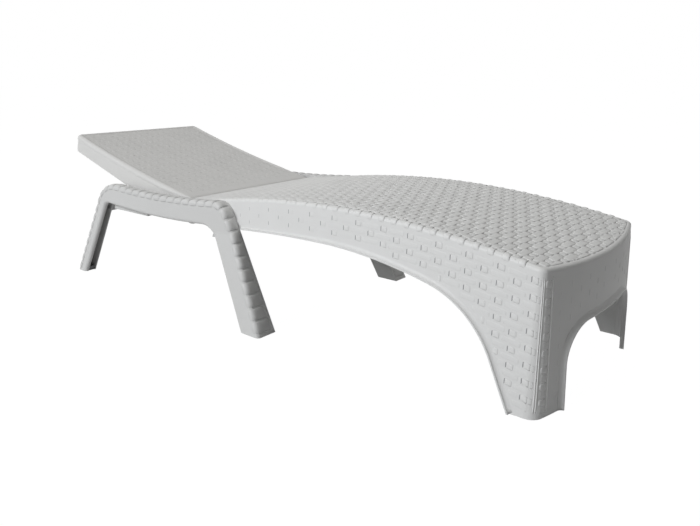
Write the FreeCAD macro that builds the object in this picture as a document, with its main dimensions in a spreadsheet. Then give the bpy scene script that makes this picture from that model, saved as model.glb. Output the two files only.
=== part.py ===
import FreeCAD, Part
import math
import os
import Sketcher
from FreeCAD import Placement, Rotation, Vector

# Driving sizes of the lounger, millimetres and degrees
SIZES = {
    # Seat moulding
    "seat_half_width": 311.0,
    "wall_draft": 2.5,
    "foot_wall_x": 982.0,
    "foot_wall_radius": 1050.0,
    "foot_corner_radius": 34.0,
    "seat_wall": 3.6,
    "top_edge_radius": 10.0,
    "crest_x": 340.0,
    "crest_rise": 86.0,
    "crest_radius": 2950.0,
    "trough_radius": 1300.0,
    "trough_start": 455.0,
    "arch_peak_x": 305.0,
    "crest_depth": 102.5,
    "arch_rear_radius": 4200.0,
    "arch_front_radius": 1400.0,
    "arch_front_run": 340.0,
    "arch_shoulder_radius": 260.0,
    "foot_leg_lean": 25.0,
    "end_arch_half_width": 216.0,
    "end_arch_height": 197.0,
    "end_arch_radius": 90.0,
    "lip_width": 8.0,
    "lip_thickness": 4.0,
    "lip_start_x": -17.0,
    "skirt_step": 16.0,
    "rib_depth": 16.0,
    "rib_thickness": 3.0,
    "cross_rib_spacing": 112.0,
    "long_rib_spacing": 165.0,
    # Hinge and backrest
    "hinge_x": -303.0,
    "hinge_height": 318.5,
    "knuckle_radius": 35.0,
    "knuckle_gap": 2.5,
    "backrest_length": 692.0,
    "backrest_side_gap": 27.0,
    "backrest_narrowing": 4.0,
    "backrest_draft": 2.0,
    "backrest_dish_radius": 5500.0,
    "backrest_wall": 3.6,
    "head_corner_radius": 19.0,
    "head_skirt_depth": 61.0,
    "skirt_drop": 47.0,
    "skirt_turn": 330.0,
    "backrest_rib_depth": 9.0,
    "backrest_rib_spacing": 96.0,
    "rest_angle": 13.5,
    "hinge_pin_radius": 7.0,
    "hinge_pin_head_radius": 12.0,
    "hinge_pin_head": 3.0,
    "hinge_boss_radius": 14.0,
    "hinge_boss_length": 13.0,
    "running_gap": 0.05,
    "seat_gap": 0.3,
    # Side frames
    "rail_low_x": -425.0,
    "rail_rise": 34.5,
    "rail_depth": 74.0,
    "rail_radius": 3500.0,
    "rail_width": 24.0,
    "frame_wall": 3.5,
    "frame_split_x": -425.0,
    "mid_foot_front": 125.0,
    "mid_foot_back": 42.0,
    "mid_leg_front_lean": 27.5,
    "mid_leg_back_lean": 29.5,
    "mid_foot_spread": 46.0,
    "rear_foot_front": -879.0,
    "rear_foot_back": -934.0,
    "rear_leg_lean": 30.0,
    "rear_foot_spread": 18.0,
    "splay_drop": 3.0,
    "front_bend_outer": 60.0,
    "front_bend_inner": 75.0,
    "rear_bend_outer": 138.0,
    "rear_bend_inner": 30.0,
    "frame_edge_radius": 12.0,
    "foot_plug_height": 18.0,
    "rail_rib_spacing": 86.0,
    # Stay and racks
    "stay_reach": 202.0,
    "stay_dip": 1.7,
    "rack_slope": 5.0,
    "foot_rod_radius": 7.0,
    "pivot_rod_radius": 5.0,
    "pivot_rod_end": 13.0,
    "arm_inset": 59.0,
    "arm_width": 10.0,
    "arm_eye_radius": 10.0,
    "brace_radius": 6.0,
    "clip_arm_spacing": 22.0,
    "clip_width": 18.0,
    "clip_length": 44.0,
    "clip_seat_height": 10.0,
    "clip_flange": 5.0,
    "clip_saddle_radius": 9.0,
    "clip_screw_spacing": 30.0,
    "rack_arm_spacing": 18.0,
    "rack_ridge_width": 21.0,
    "rack_notch_depth": 4.5,
    "rack_end_margin": 15.0,
    "shelf_drop": 47.7,
    "shelf_thickness": 6.5,
    "rod_clearance": 0.4,
    "second_angle": 25.0,
    "third_angle": 36.0,
    "fourth_angle": 46.0,
    "highest_angle": 55.0,
    # Cross bar between the side frames
    "cross_bar_x": -752.0,
    "cross_bar_length": 44.0,
    "cross_bar_drop": 80.0,
    "cross_bar_depth": 20.0,
    "cross_bar_wall": 3.0,
    "cross_bar_edge": 5.0,
    # Fasteners
    "seat_bolt_radius": 4.0,
    "seat_bolt_head_radius": 8.0,
    "seat_bolt_head": 4.0,
    "seat_bolt_rise": 3.5,
    "seat_bolt_rear_x": -217.0,
    "seat_bolt_front_x": -135.0,
    "seat_nut_radius": 7.5,
    "seat_nut_thickness": 6.0,
    "bolt_clearance": 0.25,
    "clip_screw_radius": 2.2,
    "clip_screw_head_radius": 4.2,
    "clip_screw_head": 2.4,
    "screw_clearance": 0.1,
    "cross_bar_screw_radius": 3.0,
    "cross_bar_screw_head_radius": 5.5,
    "cross_bar_screw_head": 3.0,
    "cross_bar_screw_spacing": 24.0,
    "cross_bar_end_block": 26.0,
    # Room beyond a solid that a cut runs into
    "overrun": 12.0,
}

# Angles of the backrest at which the foot rod has a notch in the racks
NOTCH_ANGLES = ("rest_angle", "second_angle", "third_angle", "fourth_angle", "highest_angle")

# Number of ribs under the seat and under the backrest
SEAT_CROSS_RIBS = 10
BACKREST_CROSS_RIBS = 6

# Number of plates inside a rail
RAIL_RIBS = 5

DOC = FreeCAD.newDocument("relaxation_lounger")
PARTS = "parts"


class Size:
    """A length or an angle that carries its value and the sheet formula behind it."""

    def __init__(self, value, text):
        self.value = float(value)
        self.text = text

    def __add__(self, other):
        other = as_size(other)
        return Size(self.value + other.value, f"({self.text} + {other.text})")

    def __sub__(self, other):
        other = as_size(other)
        return Size(self.value - other.value, f"({self.text} - {other.text})")

    def __mul__(self, other):
        other = as_size(other)
        return Size(self.value * other.value, f"({self.text} * {other.text})")

    def __truediv__(self, other):
        other = as_size(other)
        return Size(self.value / other.value, f"({self.text} / {other.text})")

    def __neg__(self):
        return Size(-self.value, f"(0 - {self.text})")

    def __rsub__(self, other):
        return as_size(other) - self

    __radd__ = __add__
    __rmul__ = __mul__


def as_size(number):
    """Turn a plain count or factor into a Size."""
    if isinstance(number, Size):
        return number
    return Size(number, repr(number))


def root(size):
    return Size(math.sqrt(size.value), f"sqrt({size.text})")


def sine(angle):
    return Size(math.sin(math.radians(angle.value)), f"sin({angle.text})")


def cosine(angle):
    return Size(math.cos(math.radians(angle.value)), f"cos({angle.text})")


def tangent(angle):
    return Size(math.tan(math.radians(angle.value)), f"tan({angle.text})")


class Sheet:
    """A spreadsheet that is filled line by line."""

    def __init__(self, name):
        self.name = name
        self.cells = DOC.addObject("Spreadsheet::Sheet", name)
        self.lines = 0

    def write(self, alias, content, value):
        """Write one cell under its alias and hand back the Size that reads it."""
        self.lines += 1
        cell = f"A{self.lines}"
        self.cells.set(cell, content)
        self.cells.setAlias(cell, alias)
        return Size(value, f"{self.name}.{alias}")


class Values:
    """Sizes and places as attributes, one sheet line each."""

    def __init__(self, sheet):
        self.sheet = sheet

    def drive(self, alias, number):
        """Keep a driving size."""
        setattr(self, alias, self.sheet.write(alias, str(number), number))

    def place(self, alias, size):
        """Keep a size that follows from others."""
        setattr(self, alias, self.sheet.write(alias, "=" + size.text, size.value))
        return getattr(self, alias)


S = Values(Sheet("Sizes"))
for size_alias, size_number in SIZES.items():
    S.drive(size_alias, size_number)
P = Values(Sheet("Places"))
ZERO = as_size(0)


def bind(item, path, size):
    """Tie one property of an object to its sheet formula."""
    item.setExpression(path, size.text)


def put(item, x=ZERO, y=ZERO, z=ZERO, turn=None):
    """Place an object, turned about the Y axis where a turn is given."""
    angle = turn if turn is not None else ZERO
    spot = Vector(x.value, y.value, z.value)
    item.Placement = Placement(spot, Rotation(Vector(0, 1, 0), angle.value))
    bind(item, "Placement.Base.x", x)
    bind(item, "Placement.Base.y", y)
    bind(item, "Placement.Base.z", z)
    if turn is not None:
        bind(item, "Placement.Rotation.Angle", turn)


# Sketched outlines

def arc_between(start, end, radius, turn):
    """The short arc from start to end, turning left for 1 and right for -1."""
    chord = end - start
    half = chord.Length / 2
    left = Vector(-chord.y, chord.x, 0).normalize()
    reach = math.sqrt(max(radius ** 2 - half ** 2, 0))
    centre = (start + end) / 2 + left * (turn * reach)
    first, last = (start, end) if turn > 0 else (end, start)
    first_angle = math.atan2(first.y - centre.y, first.x - centre.x)
    last_angle = math.atan2(last.y - centre.y, last.x - centre.x)
    circle = Part.Circle(centre, Vector(0, 0, 1), radius)
    return Part.ArcOfCircle(circle, first_angle, last_angle)


def hold(sketch, kind, axis, edge, end, size):
    """Hold one coordinate of a corner at a bound distance from the origin."""
    if size.text == ZERO.text:
        sketch.addConstraint(Sketcher.Constraint("PointOnObject", edge, end, axis))
        return
    index = sketch.addConstraint(Sketcher.Constraint(kind, -1, 1, edge, end, size.value))
    bind(sketch, f"Constraints[{index}]", size)


def draw(sketch, corners):
    """Draw a closed outline of corners (across, up) or (across, up, radius, turn).

    A radius and a turn make the run from that corner to the next one an arc.
    """
    points = [Vector(corner[0].value, corner[1].value, 0) for corner in corners]
    starts = []
    for number, corner in enumerate(corners):
        start = points[number]
        end = points[(number + 1) % len(points)]
        if len(corner) == 2:
            edge = sketch.addGeometry(Part.LineSegment(start, end), False)
            starts.append((edge, 1, 2))
            continue
        radius, turn = corner[2:]
        edge = sketch.addGeometry(arc_between(start, end, radius.value, turn), False)
        starts.append((edge, 1, 2) if turn > 0 else (edge, 2, 1))
        index = sketch.addConstraint(Sketcher.Constraint("Radius", edge, radius.value))
        bind(sketch, f"Constraints[{index}]", radius)
    for number, corner in enumerate(corners):
        edge, start_end, far_end = starts[number]
        next_edge, next_start, _ = starts[(number + 1) % len(starts)]
        joint = Sketcher.Constraint("Coincident", edge, far_end, next_edge, next_start)
        sketch.addConstraint(joint)
        hold(sketch, "DistanceX", -2, edge, start_end, corner[0])
        hold(sketch, "DistanceY", -1, edge, start_end, corner[1])


def new_sketch(body, name, role, level=None):
    """Start a sketch on an origin plane of its body, raised to a level."""
    plane = [item for item in body.Origin.OriginFeatures if item.Role == role][0]
    sketch = body.newObject("Sketcher::SketchObject", name)
    sketch.AttachmentSupport = [(plane, "")]
    sketch.MapMode = "FlatFace"
    if level is not None:
        sketch.AttachmentOffset = Placement(Vector(0, 0, level.value), Rotation())
        bind(sketch, "AttachmentOffset.Base.z", level)
    return sketch


def pad(body, name, sketch, length, both_sides=False):
    """Raise a sketch into a solid."""
    feature = body.newObject("PartDesign::Pad", name)
    feature.Profile = sketch
    feature.Length = length.value
    bind(feature, "Length", length)
    if both_sides:
        feature.SideType = "Symmetric"
    DOC.recompute()
    return feature


def lean_walls(body, name, base, angle):
    """Lean a pad's upright faces inwards from its floor."""
    faces = {f"Face{number + 1}": face for number, face in enumerate(base.Shape.Faces)}
    upright = [label for label, face in faces.items() if face.BoundBox.ZLength > S.running_gap.value]
    floor = min(faces, key=lambda label: faces[label].BoundBox.ZMax)
    feature = body.newObject("PartDesign::Draft", name)
    feature.Base = (base, upright)
    feature.NeutralPlane = (base, [floor])
    feature.Angle = angle.value
    bind(feature, "Angle", angle)
    DOC.recompute()
    return feature


def stock_outline():
    """A rectangle that lies outside every piece."""
    return [(-P.reach, -P.reach), (P.reach, -P.reach), (P.reach, P.reach), (-P.reach, P.reach)]


def keep_inside(body, name, role, corners, level=None, forward=None):
    """Cut away all that lies outside an outline, right through or on one side of a level."""
    sketch = new_sketch(body, name + "_outline", role, level)
    draw(sketch, stock_outline())
    draw(sketch, corners)
    return cut_through(body, name, sketch, forward)


def cut_through(body, name, sketch, forward=None):
    """Cut a sketch right through its body, or forward or backward from its plane."""
    feature = body.newObject("PartDesign::Pocket", name)
    feature.Profile = sketch
    feature.Type = "ThroughAll"
    if forward is None:
        feature.SideType = "Symmetric"
    else:
        feature.Reversed = forward
    DOC.recompute()
    return feature


def drill(body, name, role, spots, radius):
    """Drill round holes right through a body, square to an origin plane."""
    sketch = new_sketch(body, name + "_outline", role)
    for x, y in spots:
        circle = Part.Circle(Vector(x.value, y.value, 0), Vector(0, 0, 1), radius.value)
        edge = sketch.addGeometry(circle, False)
        index = sketch.addConstraint(Sketcher.Constraint("Radius", edge, radius.value))
        bind(sketch, f"Constraints[{index}]", radius)
        hold(sketch, "DistanceX", -2, edge, 3, x)
        hold(sketch, "DistanceY", -1, edge, 3, y)
    return cut_through(body, name, sketch)


def round_edges(body, name, base, chosen, radius, kind="Fillet"):
    """Round or bevel the edges of the last feature that a test picks."""
    edges = base.Shape.Edges
    names = [f"Edge{number + 1}" for number, edge in enumerate(edges) if chosen(edge)]
    feature = body.newObject(f"PartDesign::{kind}", name)
    feature.Base = (base, names)
    reach = "Radius" if kind == "Fillet" else "Size"
    setattr(feature, reach, radius.value)
    bind(feature, reach, radius)
    DOC.recompute()
    return feature


# Plain solids and booleans

def box(name, low, high):
    """A box between two corners."""
    solid = DOC.addObject("Part::Box", name)
    for side, first, last in zip(("Length", "Width", "Height"), low, high):
        setattr(solid, side, last.value - first.value)
        bind(solid, side, last - first)
    put(solid, *low)
    return solid


def rod(name, radius, x, z, start, end):
    """A cylinder along Y."""
    solid = DOC.addObject("Part::Cylinder", name)
    solid.Radius = radius.value
    solid.Height = end.value - start.value
    bind(solid, "Radius", radius)
    bind(solid, "Height", end - start)
    solid.Placement = Placement(Vector(x.value, start.value, z.value), Rotation(Vector(1, 0, 0), -90))
    bind(solid, "Placement.Base.x", x)
    bind(solid, "Placement.Base.y", start)
    bind(solid, "Placement.Base.z", z)
    return solid


def hexagon(name, radius, x, z, start, end):
    """A hexagonal prism along Y."""
    solid = DOC.addObject("Part::Prism", name)
    solid.Polygon = 6
    solid.Circumradius = radius.value
    solid.Height = end.value - start.value
    bind(solid, "Circumradius", radius)
    bind(solid, "Height", end - start)
    solid.Placement = Placement(Vector(x.value, start.value, z.value), Rotation(Vector(1, 0, 0), -90))
    bind(solid, "Placement.Base.x", x)
    bind(solid, "Placement.Base.y", start)
    bind(solid, "Placement.Base.z", z)
    return solid


def post(name, radius, x, y, low, high):
    """A cylinder along Z."""
    solid = DOC.addObject("Part::Cylinder", name)
    solid.Radius = radius.value
    solid.Height = high.value - low.value
    bind(solid, "Radius", radius)
    bind(solid, "Height", high - low)
    put(solid, x, y, low)
    return solid


def fuse(name, *solids):
    joined = DOC.addObject("Part::MultiFuse", name)
    joined.Shapes = list(solids)
    return joined


def common(name, *solids):
    shared = DOC.addObject("Part::MultiCommon", name)
    shared.Shapes = list(solids)
    return shared


def cut(name, base, *tools):
    tool = tools[0] if len(tools) == 1 else fuse(name + "_tools", *tools)
    rest = DOC.addObject("Part::Cut", name)
    rest.Base = base
    rest.Tool = tool
    return rest


def group(name, *solids):
    """Several separate solids of one kind as one piece."""
    compound = DOC.addObject("Part::Compound", name)
    compound.Links = list(solids)
    return compound


def mirrored(name, source):
    """The same piece on the other side of the lounger."""
    twin = DOC.addObject("Part::Mirroring", name)
    twin.Source = source
    twin.Normal = Vector(0, 1, 0)
    return twin


def hang(name, solid):
    """Carry a piece drawn flat about the hinge axis to the backrest's rest position."""
    carried = group(name, solid)
    put(carried, S.hinge_x, ZERO, S.hinge_height, S.rest_angle)
    return carried


# Widths and heights

def set_width_places():
    """Half widths of the backrest, frames, stay and racks, which follow the seat's."""
    P.place("backrest_half_width", S.seat_half_width - S.backrest_side_gap)
    P.place("rail_outer", S.seat_half_width + S.rail_width)
    P.place("mid_foot_outer", P.rail_outer + S.mid_foot_spread)
    P.place("rear_foot_outer", P.rail_outer + S.rear_foot_spread)
    P.place("arm_offset", P.backrest_half_width - S.arm_inset)
    P.place("clip_offset", P.arm_offset - S.clip_arm_spacing)
    P.place("pivot_rod_half_length", P.arm_offset + S.pivot_rod_end)
    P.place("rack_inner", P.arm_offset + S.rack_arm_spacing)
    P.place("foot_rod_half_length", P.rack_inner + S.rack_ridge_width)


def set_height_places():
    """Heights of the seat, rails, racks, bolts and cross bar, which follow the hinge's."""
    P.place("crest_height", S.hinge_height + S.crest_rise)
    P.place("arch_height", P.crest_height - S.crest_depth)
    P.place("skirt_rear_height", P.arch_height - S.skirt_step)
    P.place("seat_bolt_height", S.hinge_height + S.seat_bolt_rise)
    P.place("rail_top_height", S.hinge_height + S.rail_rise)
    P.place("splay_height", P.rail_top_height - S.rail_depth - S.splay_drop)
    P.place("shelf_top", S.hinge_height - S.shelf_drop)
    P.place("cross_bar_top", P.rail_top_height - S.cross_bar_drop)


# Seat moulding

def set_seat_places():
    """Centres and turning points of the seat's outline, wave and arches."""
    P.place("end_centre_x", S.foot_wall_x - S.foot_wall_radius)
    P.place("corner_y", S.seat_half_width - S.foot_corner_radius)
    P.place("corner_reach", S.foot_wall_radius - S.foot_corner_radius)
    along = root(P.corner_reach * P.corner_reach - P.corner_y * P.corner_y)
    P.place("corner_x", P.end_centre_x + along)
    P.place("reach", S.foot_wall_x - S.hinge_x + S.backrest_length)
    P.place("seat_rear_x", S.hinge_x + S.knuckle_radius + S.knuckle_gap)
    P.place("trough_turn_x", S.crest_x - S.trough_start)
    P.place("crest_centre_z", P.crest_height - S.crest_radius)
    P.place("crest_fall", root(S.crest_radius * S.crest_radius - S.trough_start * S.trough_start))
    P.place("trough_share", (S.crest_radius + S.trough_radius) / S.crest_radius)
    P.place("trough_centre_x", S.crest_x - S.trough_start * P.trough_share)
    P.place("trough_centre_z", P.crest_centre_z + P.crest_fall * P.trough_share)
    P.place("stock_front_x", S.foot_wall_x + S.lip_width + S.overrun)
    P.place("stock_height", P.crest_height + S.overrun)
    step = S.skirt_step
    P.place("skirt_step_x", S.arch_peak_x - root(step * (S.arch_rear_radius * 2 - step)))
    P.place("arch_turn_x", S.arch_peak_x + S.arch_front_run)
    P.place("arch_turn_sine", S.arch_front_run / S.arch_front_radius)
    P.place("arch_turn_cosine", root(1 - P.arch_turn_sine * P.arch_turn_sine))
    P.place("arch_turn_z", P.arch_height - S.arch_front_radius * (1 - P.arch_turn_cosine))
    P.place("shoulder_x", P.arch_turn_x - S.arch_shoulder_radius * P.arch_turn_sine)
    P.place("shoulder_z", P.arch_turn_z - S.arch_shoulder_radius * P.arch_turn_cosine)
    ground_x = P.shoulder_x + S.arch_shoulder_radius / cosine(S.foot_leg_lean)
    ground_x += P.shoulder_z * tangent(S.foot_leg_lean)
    P.place("tunnel_x", ground_x + S.overrun * tangent(S.foot_leg_lean))


def crest_z(x, depth):
    """Height of the seat's crest arc, a depth below the outer surface."""
    radius = S.crest_radius - depth
    return P.crest_centre_z + root(radius * radius - (x - S.crest_x) * (x - S.crest_x))


def trough_z(x, depth):
    """Height of the seat's trough arc, a depth below the outer surface."""
    radius = S.trough_radius + depth
    offset = x - P.trough_centre_x
    return P.trough_centre_z - root(radius * radius - offset * offset)


def wave(rear_x, depth, reverse=False):
    """Corners along the lying surface, from the foot end back to the hinge."""
    crest = S.crest_radius - depth
    trough = S.trough_radius + depth
    share = crest / S.crest_radius
    turn_x = S.crest_x - S.trough_start * share
    turn_z = P.crest_centre_z + P.crest_fall * share
    front = (P.stock_front_x, crest_z(P.stock_front_x, depth))
    rear = (rear_x, trough_z(rear_x, depth))
    if reverse:
        return [(*rear, trough, 1), (turn_x, turn_z, crest, -1), front]
    return [(*front, crest, 1), (turn_x, turn_z, trough, -1), rear]


def rear_arch_z(x, rise):
    """Height of the side arch's rear arc, raised by the lip's thickness or not at all."""
    radius = S.arch_rear_radius + rise
    offset = x - S.arch_peak_x
    return P.arch_height - S.arch_rear_radius + root(radius * radius - offset * offset)


def arch_edge(start_x, rise):
    """Corners along the lower edge of the skirt, from the rear to the foot's ground line."""
    shoulder = S.arch_shoulder_radius + rise
    front = S.arch_front_radius + rise
    start = (start_x, rear_arch_z(start_x, rise), S.arch_rear_radius + rise, -1)
    peak = (S.arch_peak_x, P.arch_height + rise, front, -1)
    turn_x = P.shoulder_x + shoulder * P.arch_turn_sine
    turn_z = P.shoulder_z + shoulder * P.arch_turn_cosine
    leg_x = P.shoulder_x + shoulder * cosine(S.foot_leg_lean)
    leg_z = P.shoulder_z + shoulder * sine(S.foot_leg_lean)
    ground_x = leg_x + leg_z * tangent(S.foot_leg_lean)
    return [start, peak, (turn_x, turn_z, shoulder, -1), (leg_x, leg_z), (ground_x, ZERO)]


def backward(corners):
    """The same run of corners travelled the other way."""
    turned = []
    for number in range(len(corners) - 1, -1, -1):
        corner = corners[number]
        arc = corners[number - 1][2:] if number else ()
        if arc:
            turned.append((corner[0], corner[1], arc[0], -arc[1]))
        else:
            turned.append((corner[0], corner[1]))
    return turned


def seat_plan(spread):
    """Corners of the seat's plan at the ground, spread outwards from the wall's face."""
    side = S.seat_half_width + spread
    corner = S.foot_corner_radius + spread
    wall = S.foot_wall_radius + spread
    tip_x = P.end_centre_x + wall * (P.corner_x - P.end_centre_x) / P.corner_reach
    tip_y = wall * P.corner_y / P.corner_reach
    rear_x = P.seat_rear_x - S.overrun
    return [
        (rear_x, -side),
        (P.corner_x, -side, corner, 1),
        (tip_x, -tip_y, wall, 1),
        (tip_x, tip_y, corner, 1),
        (P.corner_x, side),
        (rear_x, side),
    ]


def end_arch(rise, floor):
    """Corners of the opening in the foot wall, up one side and down the other."""
    side = S.end_arch_half_width + rise
    top = S.end_arch_height + rise
    bend = S.end_arch_radius + rise
    inner = S.end_arch_half_width - S.end_arch_radius
    shoulder = S.end_arch_height - S.end_arch_radius
    return [
        (side, floor),
        (side, shoulder, bend, 1),
        (inner, top),
        (-inner, top, bend, 1),
        (-side, shoulder),
        (-side, floor),
    ]


def seat_block(name, spread, height):
    """A drafted block with the seat's plan."""
    body = DOC.addObject("PartDesign::Body", name)
    sketch = new_sketch(body, name + "_plan", "XY_Plane")
    draw(sketch, seat_plan(spread))
    lean_walls(body, name + "_lean", pad(body, name + "_pad", sketch, height), S.wall_draft)
    return body


def on_wave(edge):
    """Whether an edge runs along the lying surface, the rear edge left out."""
    rear_edge = edge.BoundBox.XLength < S.seat_wall.value
    for point in edge.discretize(5):
        if rear_edge and point.x < P.seat_rear_x.value + S.knuckle_gap.value / 2:
            return False
        far = point.x > P.trough_turn_x.value
        height = crest_z(as_size(point.x), ZERO) if far else trough_z(as_size(point.x), ZERO)
        if abs(height.value - point.z) > S.running_gap.value:
            return False
    return True


def band_body(name, role, level, corners, length, both_sides=False):
    """A solid that follows one outline straight across the lounger or along it."""
    body = DOC.addObject("PartDesign::Body", name)
    sketch = new_sketch(body, name + "_outline", role, level)
    draw(sketch, corners)
    pad(body, name + "_pad", sketch, length, both_sides)
    return body


def make_seat_shell():
    """The thin wave-shaped moulding with its skirts, foot legs, lips and ribs."""
    below = -S.overrun
    outer = seat_block("seat_outer", ZERO, P.stock_height)
    outside = wave(P.seat_rear_x, ZERO) + [(P.seat_rear_x, below), (P.stock_front_x, below)]
    trimmed = keep_inside(outer, "seat_outer_side", "XZ_Plane", outside)
    round_edges(outer, "seat_top_rounding", trimmed, on_wave, S.top_edge_radius)
    bolts = [(x, P.seat_bolt_height) for x in (S.seat_bolt_rear_x, S.seat_bolt_front_x)]
    drill(outer, "seat_bolt_holes", "XZ_Plane", bolts, S.seat_bolt_radius + S.bolt_clearance)

    hollow = seat_block("seat_hollow", -S.seat_wall, P.stock_height)
    rear_x = P.seat_rear_x + S.seat_wall
    inside = wave(rear_x, S.seat_wall) + [(rear_x, below), (P.stock_front_x, below)]
    keep_inside(hollow, "seat_hollow_side", "XZ_Plane", inside)

    across = S.seat_half_width * 2 + S.lip_width * 4
    along = P.stock_front_x - P.corner_x
    thick = S.lip_thickness
    lip_stock = seat_block("seat_lip_stock", S.lip_width, P.stock_height)
    side_band = arch_edge(S.lip_start_x, -thick) + backward(arch_edge(S.lip_start_x, thick))
    side_band = band_body("side_lip_band", "XZ_Plane", None, side_band, across, True)
    end_band = end_arch(thick, below) + backward(end_arch(-thick, below))
    end_band = band_body("end_lip_band", "YZ_Plane", P.corner_x, end_band, along)
    lips = common("seat_lips", lip_stock, fuse("lip_bands", side_band, end_band))

    rear_x = P.seat_rear_x - S.overrun
    side_tunnel = [(rear_x, P.skirt_rear_height)] + arch_edge(P.skirt_step_x, ZERO)[:-1]
    side_tunnel += [(P.tunnel_x, below), (rear_x, below)]
    side_tunnel = band_body("side_tunnel", "XZ_Plane", None, side_tunnel, across, True)
    end_tunnel = band_body("end_tunnel", "YZ_Plane", P.corner_x, end_arch(ZERO, below), along)
    solid = cut("seat_solid", fuse("seat_outside", outer, lips), side_tunnel, end_tunnel)
    return fuse("seat_shell", cut("seat_skin", solid, hollow), make_seat_ribs())


def make_seat_ribs():
    """A grid of ribs that hangs under the lying surface."""
    sunk = S.seat_wall / 2
    stock = seat_block("seat_rib_stock", -sunk, P.stock_height)
    rear_x = P.seat_rear_x + sunk
    top = wave(rear_x, sunk)
    bottom = wave(rear_x, S.seat_wall + S.rib_depth, reverse=True)
    keep_inside(stock, "seat_rib_side", "XZ_Plane", top + bottom)
    slabs = []
    half = S.rib_thickness / 2
    for number in range(SEAT_CROSS_RIBS):
        x = P.seat_rear_x + S.cross_rib_spacing * (number + 1)
        low = (x - half, -S.seat_half_width, ZERO)
        slabs.append(box(f"seat_cross_rib_{number}", low, (x + half, S.seat_half_width, P.stock_height)))
    for number in (-1, 0, 1):
        y = S.long_rib_spacing * number
        low = (P.seat_rear_x, y - half, ZERO)
        slabs.append(box(f"seat_long_rib_{number + 1}", low, (P.stock_front_x, y + half, P.stock_height)))
    return common("seat_ribs", stock, fuse("seat_rib_slabs", *slabs))


# Backrest, drawn flat with the hinge axis as origin

def set_backrest_places():
    """Turning points of the backrest's side view and plan."""
    P.place("head_x", -S.backrest_length)
    P.place("dish_middle_x", P.head_x / 2)
    P.place("roll_reach", S.backrest_dish_radius + S.knuckle_radius)
    half_squared = P.dish_middle_x * P.dish_middle_x
    P.place("dish_centre_z", root(P.roll_reach * P.roll_reach - half_squared))
    P.place("head_floor_z", S.knuckle_radius - S.head_skirt_depth)
    P.place("skirt_slope", (S.skirt_drop + P.head_floor_z) / (S.backrest_length - S.skirt_turn))
    P.place("backrest_depth", S.skirt_drop + S.knuckle_radius)
    P.place("backrest_stock_x", P.head_x - S.overrun)
    wall_y = P.backrest_half_width - S.skirt_drop * tangent(S.backrest_draft)
    P.place("pin_boss_y", wall_y - S.backrest_wall - S.hinge_boss_length)


def dish_z(x, depth):
    """Height of the backrest's face, a depth below its surface."""
    radius = S.backrest_dish_radius + depth
    offset = x - P.dish_middle_x
    return P.dish_centre_z - root(radius * radius - offset * offset)


def face_run(depth):
    """Corners from the knuckle's front up and over to beyond the head end."""
    knuckle = S.knuckle_radius - depth
    share = knuckle / P.roll_reach
    turn = (P.dish_middle_x * share, P.dish_centre_z * share, S.backrest_dish_radius + depth, -1)
    far = (P.backrest_stock_x, dish_z(P.backrest_stock_x, depth))
    return [(knuckle, ZERO, knuckle, 1), turn, far]


def backrest_block(name, spread, height):
    """A drafted block with the backrest's plan and rounded head corners."""
    body = DOC.addObject("PartDesign::Body", name)
    sketch = new_sketch(body, name + "_plan", "XY_Plane", -S.skirt_drop)
    hinge_y = P.backrest_half_width + spread
    head_y = hinge_y - S.backrest_narrowing
    end_x = P.head_x - P.backrest_depth * tangent(S.backrest_draft) - spread
    front_x = S.knuckle_radius + S.overrun
    draw(sketch, [(end_x, -head_y), (front_x, -hinge_y), (front_x, hinge_y), (end_x, head_y)])
    upright = pad(body, name + "_pad", sketch, height)
    block = lean_walls(body, name + "_lean", upright, S.backrest_draft)

    def at_head_corner(edge):
        return edge.BoundBox.Center.x < P.dish_middle_x.value and edge.BoundBox.ZLength > height.value / 2

    round_edges(body, name + "_corners", block, at_head_corner, S.head_corner_radius + spread)
    return body


def on_face(edge):
    """Whether an edge borders the backrest's dished face, the hinge end left out."""
    for point in edge.discretize(5):
        flat = edge.BoundBox.XLength < S.running_gap.value and point.x > P.dish_middle_x.value
        if flat or abs(dish_z(as_size(point.x), ZERO).value - point.z) > S.running_gap.value:
            return False
    return True


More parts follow.
